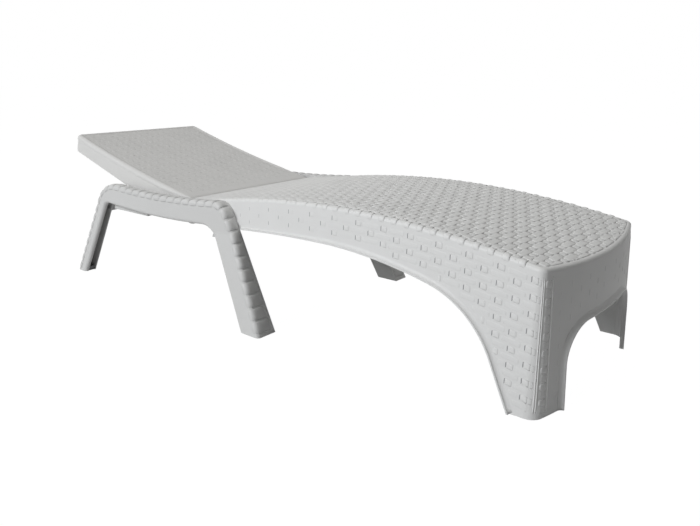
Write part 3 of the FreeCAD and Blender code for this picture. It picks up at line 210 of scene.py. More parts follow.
class Shader:
    """A material under construction."""

    NOISE_ROUGHNESS = 0.55

    def __init__(self, name: str) -> None:
        """Start an empty material.

        Args:
            name: The material's name.
        """
        self.material = bpy.data.materials.new(name)
        self.material.use_nodes = True
        self.tree = self.material.node_tree
        self.tree.nodes.clear()

    def node(self, kind: str, settings: dict[str, Any], inputs: dict[str, Any]) -> bpy.types.Node:
        """Add a node.

        Args:
            kind: The node's type.
            settings: Properties of the node, set first.
            inputs: A value, a Wire or an output socket for each named input.

        Returns:
            The new node.
        """
        made = make_node(self.tree, kind, settings)
        for key, value in inputs.items():
            feed(self.tree, made.inputs[key], value)
        return made

    def noise(self, scale: float, detail: float, stretch: Point = (1.0, 1.0, 1.0)) -> Wire:
        """Cloudy noise on the piece's own coordinates.

        Args:
            scale: Noise cells per metre.
            detail: Octaves.
            stretch: Factors on the three axes.

        Returns:
            A value around one half.
        """
        here = self.node("ShaderNodeTexCoord", {}, {}).outputs["Object"]
        spot = self.node("ShaderNodeMapping", {"vector_type": "POINT"}, {"Vector": here, "Scale": stretch})
        made = self.node("ShaderNodeTexNoise", {"noise_dimensions": "3D"},
                         {"Vector": spot.outputs["Vector"], "Scale": scale, "Detail": detail,
                          "Roughness": self.NOISE_ROUGHNESS})
        return Wire(self.tree, made.outputs["Fac"])

    def mix(self, factor: Wire | float, first: Any, second: Any) -> bpy.types.NodeSocket:
        """Blend two colours.

        Args:
            factor: Share of the second colour.
            first: A colour or a colour socket.
            second: A colour or a colour socket.

        Returns:
            The blended colour's socket.
        """
        made = make_node(self.tree, "ShaderNodeMix", {"data_type": "RGBA"})
        for number, value in ((0, factor), (6, first), (7, second)):
            feed(self.tree, made.inputs[number], (*value, 1.0) if isinstance(value, tuple) else value)
        return made.outputs[2]

    def grained(self, colour: bpy.types.NodeSocket, grain: Wire, share: float, depth: float,
                lowest: float, swing: float, metallic: float = 0.0) -> bpy.types.Material:
        """Close the material with a surface that a fine grain bends and roughens.

        Args:
            colour: The colour's socket.
            grain: The grain, from 0 to 1.
            share: Share of the grain's bending.
            depth: Height of the grain, in metres.
            lowest: Roughness where the grain is 0.
            swing: How far the grain raises the roughness.
            metallic: Share of metal.

        Returns:
            The finished material.
        """
        bump = self.node("ShaderNodeBump", {}, {"Strength": share, "Distance": depth, "Height": grain})
        shader = self.node("ShaderNodeBsdfPrincipled", {}, {
            "Base Color": colour, "Roughness": grain * swing + lowest, "Metallic": metallic,
            "Normal": bump.outputs["Normal"]})
        return self.close(shader)

    def close(self, shader: bpy.types.Node) -> bpy.types.Material:
        """Link a shader to the material's output."""
        end = self.node("ShaderNodeOutputMaterial", {}, {})
        self.tree.links.new(shader.outputs[0], end.inputs["Surface"])
        return self.material


# Finishes

@dataclass(frozen=True)
class ResinFinish:
    """Pale matt moulded resin with a fine grain, with painted shade where strands dive if it has a crevice
    shade share.
    """

    name: str
    colour: Colour
    # The second colour: a darker tone for the cloudy variation, and the painted shade where strands dive.
    shade: Colour
    roughness: float = 0.52
    swing: float = 0.12
    grain_scale: float = 950.0
    grain_share: float = 0.35
    grain_depth: float = 0.00022
    cloud_scale: float = 5.0
    cloud_share: float = 0.9
    crevice_shade: float = 0.0
    crevice_shade_power: float = 7.0

    def material(self) -> bpy.types.Material:
        """Build the material."""
        shader = Shader(self.name)
        cloud = shader.noise(self.cloud_scale, 3.0)
        grain = shader.noise(self.grain_scale, 2.0)
        colour = shader.mix((cloud - 0.5).size() * self.cloud_share, self.colour, self.shade)
        # Painted shade: the colour darkens towards each cell's diving end, standing for the shadow in the
        # crevice there.
        if self.crevice_shade > 0.0:
            cell = shader.node("ShaderNodeAttribute", {"attribute_name": ReliefTree.ATTRIBUTE}, {})
            parts = shader.node("ShaderNodeSeparateXYZ", {}, {"Vector": cell.outputs["Vector"]})
            dive_shade = Wire(shader.tree, parts.outputs["X"]) ** self.crevice_shade_power
            colour = shader.mix(dive_shade * self.crevice_shade, colour, self.shade)
        return shader.grained(colour, grain, self.grain_share, self.grain_depth,
                              self.roughness - self.swing / 2, self.swing)


@dataclass(frozen=True)
class MetalFinish:
    """Drawn steel with a fine lengthwise grain and dull stains."""

    name: str
    colour: Colour
    roughness: float
    dip: float = 0.1
    swing: float = 0.22
    grain_scale: float = 900.0
    grain_share: float = 0.25
    grain_depth: float = 0.0001
    stain_scale: float = 22.0
    stain_start: float = 0.42
    stain_gain: float = 2.2
    stain_tone: float = 0.78
    stretch: Point = (1.0, 0.03, 1.0)

    def material(self) -> bpy.types.Material:
        """Build the material."""
        shader = Shader(self.name)
        streak = shader.noise(self.grain_scale, 2.0, self.stretch)
        stain = shader.noise(self.stain_scale, 3.0)
        dull = tuple(channel * self.stain_tone for channel in self.colour)
        share = (stain - self.stain_start).at_least(0.0) * self.stain_gain
        colour = shader.mix(share, self.colour, dull)
        return shader.grained(colour, streak, self.grain_share, self.grain_depth,
                              self.roughness - self.dip, self.swing, 1.0)


@dataclass(frozen=True)
class RubberFinish:
    """Grey soft plastic of the foot plugs, dusty in places."""

    name: str
    colour: Colour
    roughness: float = 0.78
    swing: float = 0.1
    grain_scale: float = 600.0
    grain_share: float = 0.4
    grain_depth: float = 0.0002
    dust_scale: float = 35.0
    dust_start: float = 0.45
    dust_gain: float = 2.0
    dust_tone: float = 1.35

    def material(self) -> bpy.types.Material:
        """Build the material."""
        shader = Shader(self.name)
        pits = shader.noise(self.grain_scale, 3.0)
        dust = shader.noise(self.dust_scale, 3.0)
        pale = tuple(min(channel * self.dust_tone, 1.0) for channel in self.colour)
        share = (dust - self.dust_start).at_least(0.0) * self.dust_gain
        colour = shader.mix(share, self.colour, pale)
        return shader.grained(colour, pits, self.grain_share, self.grain_depth,
                              self.roughness - self.swing / 2, self.swing)


class Finish(Enum):
    """The finishes of the lounger."""

    RESIN = ResinFinish("resin", (0.80, 0.80, 0.79), (0.70, 0.70, 0.685))
    # The woven resin paints shade at each strand's diving end.
    WEAVE = ResinFinish("woven_resin", (0.80, 0.80, 0.79), (0.42, 0.42, 0.41), crevice_shade=0.9)
    # The faintly woven resin paints a lighter shade at each strand's diving end.
    FAINT_WEAVE = ResinFinish("faintly_woven_resin", (0.71, 0.705, 0.69), (0.44, 0.44, 0.43), crevice_shade=0.45)
    BACK_RESIN = ResinFinish("backrest_resin", (0.71, 0.705, 0.69), (0.63, 0.625, 0.61))
    # A dark sheet in painted shade for the shadowed slit before each skirt crossing.
    SLIT = ResinFinish("painted_slit_shade", (0.30, 0.30, 0.31), (0.26, 0.26, 0.27))
    # A lighter painted shade for the shadowed slits of the foot wall.
    FAINT_SLIT = ResinFinish("faint_painted_slit_shade", (0.68, 0.68, 0.67), (0.60, 0.60, 0.59))
    FRAME_RESIN = ResinFinish("frame_resin", (0.67, 0.67, 0.66), (0.60, 0.60, 0.59))
    # The wrapped resin paints shade at each wrap's diving end.
    WRAP = ResinFinish("wrapped_resin", (0.68, 0.68, 0.67), (0.42, 0.42, 0.41), crevice_shade=0.5)
    STEEL = MetalFinish("zinc_plated_rod", (0.62, 0.63, 0.64), 0.34)
    FASTENER = MetalFinish("stainless_fastener", (0.56, 0.56, 0.55), 0.3, stretch=(1.0, 1.0, 1.0))
    PLUG = RubberFinish("foot_plug_plastic", (0.23, 0.235, 0.24))


class Paints:
    """Materials of the finishes, each built once."""

    def __init__(self) -> None:
        """Start with none."""
        self.made: dict[Finish, bpy.types.Material] = {}

    def get(self, finish: Finish) -> bpy.types.Material:
        """The material of a finish.

        Args:
            finish: The finish wanted.

        Returns:
            Its material.
        """
        if finish not in self.made:
            self.made[finish] = finish.value.material()
        return self.made[finish]

    def dress(self, nodes: Sequence[str], finish: Finish) -> None:
        """Give CAD nodes a finish.

        Args:
            nodes: Names of the nodes.
            finish: Their finish.
        """
        for name in nodes:
            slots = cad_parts[name].data.materials
            slots.clear()
            slots.append(self.get(finish))
            LOG.info("%s wears %s", name, finish.name.lower())


# Geometry Nodes

@dataclass(frozen=True)
class Relief:
    """How the cells of a net rise: height in metres, and how steeply ends and sides fall."""

    height: float
    end_power: float
    side_power: float
    sink: float = 0.0004


class ReliefTree:
    """Geometry Nodes that turn a net of cells into softly raised pillows."""

    ATTRIBUTE = "cell"
    MERGE = 1e-6

    def __init__(self) -> None:
        """Build the tree with its named inputs."""
        self.tree = bpy.data.node_groups.new("Woven relief", "GeometryNodeTree")
        face = self.tree.interface
        face.new_socket("Geometry", in_out="INPUT", socket_type="NodeSocketGeometry")
        for name in ("Relief", "Sink", "End power", "Side power"):
            face.new_socket(name, in_out="INPUT", socket_type="NodeSocketFloat")
        face.new_socket("Material", in_out="INPUT", socket_type="NodeSocketMaterial")
        face.new_socket("Geometry", in_out="OUTPUT", socket_type="NodeSocketGeometry")
        self._build()

    def add(self, kind: str, settings: dict[str, Any], *links: Any) -> bpy.types.Node:
        """Add a node and fill its first inputs.

        Args:
            kind: The node's type.
            settings: Properties, set first.
            links: A socket or a value for each input in order.

        Returns:
            The new node.
        """
        made = make_node(self.tree, kind, settings)
        for slot, value in zip(made.inputs, links):
            feed(self.tree, slot, value)
        return made

    def maths(self, operation: str, *operands: Any) -> bpy.types.NodeSocket:
        """One Math node's result."""
        return self.add("ShaderNodeMath", {"operation": operation}, *operands).outputs[0]

    def _hump(self, spot: bpy.types.NodeSocket, power: bpy.types.NodeSocket) -> bpy.types.NodeSocket:
        """A height of 1 in the middle that falls to 0 at both ends."""
        centred = self.maths("ABSOLUTE", self.maths("MULTIPLY_ADD", spot, 2.0, -1.0))
        return self.maths("SUBTRACT", 1.0, self.maths("POWER", centred, power))

    def _shifted(self, geometry: bpy.types.NodeSocket, normal: bpy.types.NodeSocket,
                 height: bpy.types.NodeSocket) -> bpy.types.NodeSocket:
        """The geometry moved along its normal by a height."""
        way = self.add("ShaderNodeVectorMath", {"operation": "SCALE"}, normal)
        feed(self.tree, way.inputs["Scale"], height)
        moved = self.add("GeometryNodeSetPosition", {}, geometry)
        feed(self.tree, moved.inputs["Offset"], way.outputs[0])
        return moved.outputs[0]

    def _build(self) -> None:
        """Link the tree: a raised copy and a flipped sunk copy, merged where they meet."""
        entry = self.tree.nodes.new("NodeGroupInput").outputs
        cell = self.add("GeometryNodeInputNamedAttribute", {"data_type": "FLOAT_VECTOR"}, self.ATTRIBUTE)
        parts = self.add("ShaderNodeSeparateXYZ", {}, cell.outputs[0]).outputs
        hump = self.maths("MULTIPLY", self._hump(parts[0], entry["End power"]),
                          self._hump(parts[1], entry["Side power"]))
        rise = self.maths("MULTIPLY", self.maths("MULTIPLY", hump, parts[2]), entry["Relief"])
        height = self.maths("SUBTRACT", rise, entry["Sink"])
        normal = self.add("GeometryNodeInputNormal", {}).outputs[0]
        upper = self._shifted(entry["Geometry"], normal, height)
        lower = self._shifted(entry["Geometry"], normal, self.maths("MULTIPLY", entry["Sink"], -1.0))
        turned = self.add("GeometryNodeFlipFaces", {}, lower)
        joined = self.add("GeometryNodeJoinGeometry", {})
        self.tree.links.new(turned.outputs[0], joined.inputs[0])
        self.tree.links.new(upper, joined.inputs[0])
        merged = self.add("GeometryNodeMergeByDistance", {}, joined.outputs[0])
        merged.inputs["Distance"].default_value = self.MERGE
        smooth = self.add("GeometryNodeSetShadeSmooth", {}, merged.outputs[0])
        real = self.add("GeometryNodeRealizeInstances", {}, smooth.outputs[0])
        paint = self.add("GeometryNodeSetMaterial", {}, real.outputs[0])
        feed(self.tree, paint.inputs["Material"], entry["Material"])
        leave = self.tree.nodes.new("NodeGroupOutput")
        self.tree.links.new(paint.outputs[0], leave.inputs[0])

    def apply(self, name: str, net: "CellNet", relief: Relief,
              material: bpy.types.Material) -> bpy.types.Object:
        """Run the tree on a net and keep the result as a plain mesh.

        Args:
            name: The piece's name.
            net: The net of cells.
            relief: How the cells rise.
            material: The piece's material.

        Returns:
            The finished piece at the origin.
        """
        values = {"Relief": relief.height, "Sink": relief.sink, "End power": relief.end_power,
                  "Side power": relief.side_power, "Material": material}
        source = place(name + "_net", net.mesh())
        modifier = source.modifiers.new("Woven relief", "NODES")
        modifier.node_group = self.tree
        for item in self.tree.interface.items_tree:
            if item.in_out == "INPUT" and item.name in values:
                modifier[item.identifier] = values[item.name]
        graph = bpy.context.evaluated_depsgraph_get()
        mesh = bpy.data.meshes.new_from_object(source.evaluated_get(graph))
        bpy.data.objects.remove(source)
        mesh.name = name
        LOG.info("%s: %d cells", name, net.count)
        return place(name, mesh)


# Surfaces

@dataclass(frozen=True)
class Arc:
    """A circle in the side view, for heights along the lounger."""

    x: float
    z: float
    radius: float

    def over(self, x: float) -> float:
        """Height of the upper half at x."""
        return self.z + math.sqrt(self.radius ** 2 - (x - self.x) ** 2)

    def under(self, x: float) -> float:
        """Height of the lower half at x."""
        return self.z - math.sqrt(self.radius ** 2 - (x - self.x) ** 2)


class EdgePath:
    """Straight lines and arcs in a plane, followed by their length."""

    def __init__(self) -> None:
        """Start with no run."""
        self.runs: list[tuple[float, Callable[[float], tuple[Vector, Vector]]]] = []

    @property
    def length(self) -> float:
        """Length of all runs."""
        return sum(length for length, _ in self.runs)

    def line(self, start: Vector, end: Vector) -> None:
        """Add a straight run."""
        ahead = (end - start).normalized()
        left = Vector((-ahead.y, ahead.x))
        self.runs.append(((end - start).length, lambda way: (start + ahead * way, left)))

    def arc(self, circle: Arc, start: Vector, end: Vector, turn: float = -1.0) -> None:
        """Add an arc.

        Args:
            circle: The arc's circle.
            start: Where it starts.
            end: Where it ends.
            turn: -1 for an arc that turns right, 1 for one that turns left.
        """
        centre = Vector((circle.x, circle.z))
        first = math.atan2(start.y - centre.y, start.x - centre.x)
        last = math.atan2(end.y - centre.y, end.x - centre.x)
        sweep = (last - first) * turn % (2 * math.pi)

        def at(way: float) -> tuple[Vector, Vector]:
            angle = first + turn * way / circle.radius
            spoke = Vector((math.cos(angle), math.sin(angle)))
            return centre + spoke * circle.radius, spoke * -turn

        self.runs.append((circle.radius * sweep, at))

    def at(self, way: float) -> tuple[Vector, Vector]:
        """Point and left-hand normal at a way from the start."""
        for length, run in self.runs:
            if way <= length:
                return run(way)
            way -= length
        length, run = self.runs[-1]
        return run(length + way)


@dataclass(frozen=True)
class SeatForm:
    """Outer surface of the seat moulding."""

    crest: Arc = Arc(0.340, -2.5455, 2.950)
    trough: Arc = Arc(-0.315497, 1.653644, 1.300)
    trough_end_x: float = -0.115
    rear_x: float = -0.2655
    half_width: float = 0.311
    draft: float = math.tan(math.radians(2.5))
    edge_radius: float = 0.010
    foot_centre_x: float = -0.068
    foot_radius: float = 1.050
    corner_x: float = 0.909510
    corner_y: float = 0.277
    corner_radius: float = 0.034
    arch_peak: float = 0.305
    arch_rear: Arc = Arc(0.305, -3.898, 4.2)
    arch_front: Arc = Arc(0.305, -1.098, 1.4)
    arch_front_x: float = 0.645
    shoulder: Arc = Arc(0.581857, 0.007870, 0.26)
    shoulder_end_x: float = 0.8175
    leg_lean: float = math.tan(math.radians(25.0))
    end_arch_half: float = 0.216
    end_arch_top: float = 0.197
    end_arch_radius: float = 0.090
    lip_start_x: float = -0.017
    lip_out: float = 0.008
    lip_up: float = 0.004

    def top(self, x: float) -> float:
        """Height of the lying surface at x."""
        return self.crest.over(x) if x > self.trough_end_x else self.trough.under(x)

    def wall(self, z: float) -> float:
        """Half width of the side walls at a height."""
        return self.half_width - z * self.draft

    def foot_x(self, y: float, z: float) -> float:
        """Outermost x of the foot wall at a place across and a height."""
        inset = z * self.draft
        tip_y = (self.foot_radius - inset) * self.corner_y / (self.foot_radius - self.corner_radius)
        side = abs(y)
        if side <= tip_y:
            return self.foot_centre_x + math.sqrt((self.foot_radius - inset) ** 2 - side ** 2)
        radius = self.corner_radius - inset
        beyond = min(side - self.corner_y, radius)
        return self.corner_x + math.sqrt(radius ** 2 - beyond ** 2)

    def arch(self, x: float) -> float:
        """Height of the side arch's edge at x, or below ground past the leg's foot."""
        if x <= self.arch_peak:
            return self.arch_rear.over(x)
        if x <= self.arch_front_x:
            return self.arch_front.over(x)
        if x <= self.shoulder_end_x:
            return self.shoulder.over(x)
        return self.shoulder.over(self.shoulder_end_x) - (x - self.shoulder_end_x) / self.leg_lean

    def _edge_centre(self, x: float) -> tuple[float, float]:
        """Place across and height of the centre of the edge's rounding at x."""
        lean = math.atan(self.draft)
        z = self.top(x) - self.edge_radius
        return self.wall(z + self.edge_radius * math.sin(lean)) - self.edge_radius * math.cos(lean), z

    def edge_way(self, x: float) -> float:
        """Way from the centre line to where the flat top turns into the edge at x."""
        return self._edge_centre(x)[0]

    def section(self, x: float, t: float) -> Vector:
        """A point of the cross-section at x.

        Args:
            x: Place along the lounger.
            t: Way from the centre line over the edge and down the wall; its sign picks the side.

        Returns:
            The surface point.
        """
        side = math.copysign(1.0, t)
        way = abs(t)
        lean = math.atan(self.draft)
        radius = self.edge_radius
        bend = math.pi / 2 - lean
        centre_y, centre_z = self._edge_centre(x)
        if way <= centre_y:
            return Vector((x, side * way, self.top(x)))
        way -= centre_y
        if way <= radius * bend:
            angle = way / radius
            return Vector((x, side * (centre_y + radius * math.sin(angle)),
                           centre_z + radius * math.cos(angle)))
        way -= radius * bend
        start_y = centre_y + radius * math.cos(lean)
        start_z = centre_z + radius * math.sin(lean)
        return Vector((x, side * (start_y + way * math.sin(lean)), start_z - way * math.cos(lean)))

    def wall_point(self, way: float, drop: float, side: float) -> Vector:
        """A point of the side wall or of the corner that it runs into.

        Args:
            way: Way along X, which past the corner's start follows the corner and then the foot wall.
            drop: Depth below the lying surface.
            side: 1 for the left wall, -1 for the right one.

        Returns:
            The surface point.
        """
        start = math.asin(self.corner_y / (self.foot_radius - self.corner_radius))
        bend = math.pi / 2 - start
        angle = min(max(way - self.corner_x, 0.0) / self.corner_radius, bend)
        x = min(way, self.corner_x)
        z = self.top(x + self.corner_radius * math.sin(angle)) - drop
        beyond = way - self.corner_x - self.corner_radius * bend
        if beyond > 0.0:
            reach = self.foot_radius - z * self.draft
            angle = start - beyond / self.foot_radius
            return Vector((self.foot_centre_x + reach * math.cos(angle), side * reach * math.sin(angle), z))
        radius = self.corner_radius - z * self.draft
        return Vector((x + radius * math.sin(angle), side * (self.corner_y + radius * math.cos(angle)), z))

    def side_arch(self) -> "EdgePath":
        """The side arch's edge from the lip's start to the ground, in X and Z."""
        path = EdgePath()
        start = Vector((self.lip_start_x, self.arch_rear.over(self.lip_start_x)))
        peak = Vector((self.arch_peak, self.arch_rear.over(self.arch_peak)))
        turn = Vector((self.arch_front_x, self.arch_front.over(self.arch_front_x)))
        knee = Vector((self.shoulder_end_x, self.shoulder.over(self.shoulder_end_x)))
        ground = Vector((knee.x + knee.y * self.leg_lean, 0.0))
        path.arc(self.arch_rear, start, peak)
        path.arc(self.arch_front, peak, turn)
        path.arc(self.shoulder, turn, knee)
        path.line(knee, ground)
        return path

    def end_arch(self) -> "EdgePath":
        """The end arch's edge from the right foot over to the left one, in Y and Z."""
        path = EdgePath()
        half, top, radius = self.end_arch_half, self.end_arch_top, self.end_arch_radius
        inner, knee = half - radius, top - radius
        path.line(Vector((-half, 0.0)), Vector((-half, knee)))
        path.arc(Arc(-inner, knee, radius), Vector((-half, knee)), Vector((-inner, top)))
        path.line(Vector((-inner, top)), Vector((inner, top)))
        path.arc(Arc(inner, knee, radius), Vector((inner, top)), Vector((half, knee)))
        path.line(Vector((half, knee)), Vector((half, 0.0)))
        return path


@dataclass(frozen=True)
class BackrestForm:
    """Outer surface of the backrest, lying at its rest angle."""

    hinge: Point = (-0.303, 0.0, 0.3185)
    angle: float = math.radians(13.5)
    dish: Arc = Arc(-0.346, 5.524175, 5.5)
    length: float = 0.692
    half_width: float = 0.284
    narrowing: float = 0.004
    draft: float = math.tan(math.radians(2.0))
    skirt: float = 0.047
    edge_radius: float = 0.010
    head_corner: float = 0.019
    corner_steps: int = 6

    def face(self, along: float, across: float, rise: float = 0.0) -> Vector:
        """A point of the dished face or above it.

        Args:
            along: Way from the hinge axis towards the head, in metres.
            across: Place across, in metres.
            rise: Height above the face, in metres.

        Returns:
            The point in the frame.
        """
        z = self.dish.under(-along) + rise
        cosine, sine = math.cos(self.angle), math.sin(self.angle)
        return Vector((self.hinge[0] - along * cosine + z * sine, across,
                       self.hinge[2] + along * sine + z * cosine))

    def rim_path(self, inset: float, start: float, step: float) -> list[tuple[float, float]]:
        """Places along and across of a line inside the three free edges.

        Args:
            inset: Way inside the edge's rounding centre, in metres.
            start: Where the line starts and ends, from the hinge.
            step: Way between two places.

        Returns:
            The places from the left side over the head to the right side.
        """
        radius = self.head_corner - self.edge_radius - inset
        last = self.length - self.head_corner
        count = int((last - start) / step)
        alongs = [start + (last - start) * number / count for number in range(count)]
        left = [(along, self.half(along) - inset) for along in alongs]
        across = self.half(last) - inset - radius
        for number in range(self.corner_steps + 1):
            angle = math.pi / 2 * number / self.corner_steps
            left.append((last + radius * math.sin(angle), across + radius * math.cos(angle)))
        return left + [(along, -place) for along, place in reversed(left)]

    def half(self, along: float) -> float:
        """Half width of the flat face at a way from the hinge."""
        share = along / self.length
        rise = (self.skirt + self.dish.under(-along)) * self.draft
        return self.half_width - self.narrowing * share - rise - self.edge_radius


@dataclass(frozen=True)
class FrameForm:
    """Outer surfaces of a side frame."""

    rail: Arc = Arc(-0.425, 3.853, 3.5)
    front_foot: float = 0.125
    front_lean: float = math.radians(27.5)
    front_bend: float = 0.060
    rear_foot: float = -0.934
    rear_lean: float = math.radians(30.0)
    rear_bend: float = 0.138
    inner: float = 0.3113
    draft: float = math.tan(math.radians(2.5))
    outer: float = 0.335
    rim: float = 0.012
    splay_z: float = 0.276
    mid_foot_outer: float = 0.381
    rear_foot_outer: float = 0.353
    plain_foot: float = 0.012

    def outline(self) -> EdgePath:
        """The outer side view from the rear foot over the rail to the front foot, in X and Z."""
        hub = Vector((self.rail.x, self.rail.z))
        path = EdgePath()
        ends = []
        for foot, lean, bend, side in ((self.rear_foot, self.rear_lean, self.rear_bend, -1.0),
                                       (self.front_foot, self.front_lean, self.front_bend, 1.0)):
            rise = Vector((-side * math.sin(lean), math.cos(lean)))
            out = Vector((side * math.cos(lean), math.sin(lean)))
            start = Vector((foot, 0.0)) - out * bend
            reach = self.rail.radius + bend
            along = (start - hub).dot(rise)
            way = -along - math.sqrt(along ** 2 - (start - hub).length_squared + reach ** 2)
            centre = start + rise * way
            on_leg = centre + out * bend
            on_rail = hub + (centre - hub) * (self.rail.radius / reach)
            ends.append((Vector((foot, 0.0)) + rise * self.plain_foot, on_leg, on_rail,
                         Arc(centre.x, centre.y, bend)))
        (low, on_leg, on_rail, bend), (last, last_leg, last_rail, last_bend) = ends
        path.line(low, on_leg)
        path.arc(bend, on_leg, on_rail)
        path.arc(self.rail, on_rail, last_rail, 1.0)
        path.arc(last_bend, last_rail, last_leg)
        path.line(last_leg, last)
        return path

    def wrap(self, spot: Vector, skin: Vector, share: float, side: float) -> Vector:
        """A point of the band that crosses the outline at a spot.

        Args:
            spot: Point of the outline, in X and Z.
            skin: Outward normal there, in X and Z.
            share: From 0 at the inner face to 1 past the rounded rim.
            side: 1 for the left frame, -1 for the right one.

        Returns:
            The surface point.
        """
        foot = self.mid_foot_outer if spot.x > self.rail.x else self.rear_foot_outer
        flare = (foot - self.outer) / self.splay_z if spot.y < self.splay_z else 0.0
        edge = Vector((spot.x, self.outer + max(self.splay_z - spot.y, 0.0) * flare, spot.y))
        upper = Vector((skin.x, 0.0, skin.y))
        face = Vector((0.0, 1.0, flare)).normalized()
        turn = upper.angle(face)
        centre = edge - (upper + face) * (self.rim / (1.0 + upper.dot(face)))
        start = centre + upper * self.rim
        flat = start.y - (self.inner - start.z * self.draft)
        curved = self.rim * turn
        way = (flat + curved + self.rim / 2) * share - flat
        if way <= 0.0:
            point = start + Vector((0.0, way, 0.0))
        elif way <= curved:
            point = centre + upper.slerp(face, way / curved) * self.rim
        else:
            down = (face * upper.dot(face) - upper).normalized()
            point = centre + face * self.rim + down * (way - curved)
        return Vector((point.x, side * point.y, point.z))


# Nets of cells

class CellNet:
    """Collects cells as small patches that each carry their own coordinates."""

    def __init__(self, name: str, columns: int = 5, rows: int = 4) -> None:
        """Start an empty net.

        Args:
            name: Name of the mesh.
            columns: Faces along a cell.
            rows: Faces across a cell.
        """
        self.name = name
        self.columns = columns
        self.rows = rows
        self.points: list[Vector] = []
        self.cells: list[Point] = []
        self.faces: list[Face] = []

    def add(self, surface: SurfacePoint, low: tuple[float, float], high: tuple[float, float],
            strength: float = 1.0, outward: bool = True) -> None:
        """Add one cell over a rectangle of a surface's two parameters.

        Args:
            surface: Gives the surface point for the two parameters.
            low: Corner where the cell starts.
            high: Corner where it ends; the strand dives at this end.
            strength: Share of the full relief.
            outward: Whether the first parameter's way crossed with the second's points outwards.
        """
        reversed_way = (high[0] < low[0]) != (high[1] < low[1])
        flip = reversed_way == outward
        start = len(self.points)
        for i in range(self.columns + 1):
            u = i / self.columns
            for j in range(self.rows + 1):
                v = j / self.rows
                self.points.append(surface(low[0] + (high[0] - low[0]) * u,
                                           low[1] + (high[1] - low[1]) * v))
                self.cells.append((u, v, strength))
        step = self.rows + 1
        for i in range(self.columns):
            for j in range(self.rows):
                a = start + i * step + j
                corners = (a, a + step, a + step + 1, a + 1)
                self.faces.append(corners[::-1] if flip else corners)

    def mesh(self) -> bpy.types.Mesh:
        """The net as a mesh with the cell attribute.

        Returns:
            The mesh.
        """
        made = bpy.data.meshes.new(self.name)
        made.from_pydata(self.points, [], self.faces)
        attribute = made.attributes.new(ReliefTree.ATTRIBUTE, "FLOAT_VECTOR", "POINT")
        attribute.data.foreach_set("vector", [value for cell in self.cells for value in cell])
        made.update()
        return made

    @property
    def count(self) -> int:
        """How many cells the net has."""
        return len(self.faces) // (self.columns * self.rows)


@dataclass(frozen=True)
class Weave:
    """Sizes of the basket weave, in which a square crossing shows between two long floats."""

    module: float = 0.01975
    width: float = 0.01875
    seam: float = 0.0003
    slit: float = 0.0026
    tuck: float = 0.003
    least: float = 0.006

    @property
    def period(self) -> float:
        """Way from one crossing of a strand to its next."""
        return self.module * 4

    def strand(self, first: float, low: float, high: float) -> Iterator[tuple[float, float, bool]]:
        """Floats and crossings of one strand, clipped to a run.

        Args:
            first: Where one crossing of the strand starts.
            low: Start of the run.
            high: End of the run.

        Yields:
            Where the cell starts, where it dives, and whether it is a crossing.
        """
        number = math.floor((low - first) / self.period) - 1
        while first + number * self.period < high:
            crossing = first + number * self.period
            edge = crossing + self.module
            number += 1
            if min(edge, high) - max(crossing, low) > self.least:
                yield min(edge, high), max(crossing + self.slit / 2, low), True
            start, end = edge - self.tuck, crossing + self.period - self.slit / 2
            if min(end, high) - max(start, low) > self.least:
                yield max(start, low), min(end, high), False


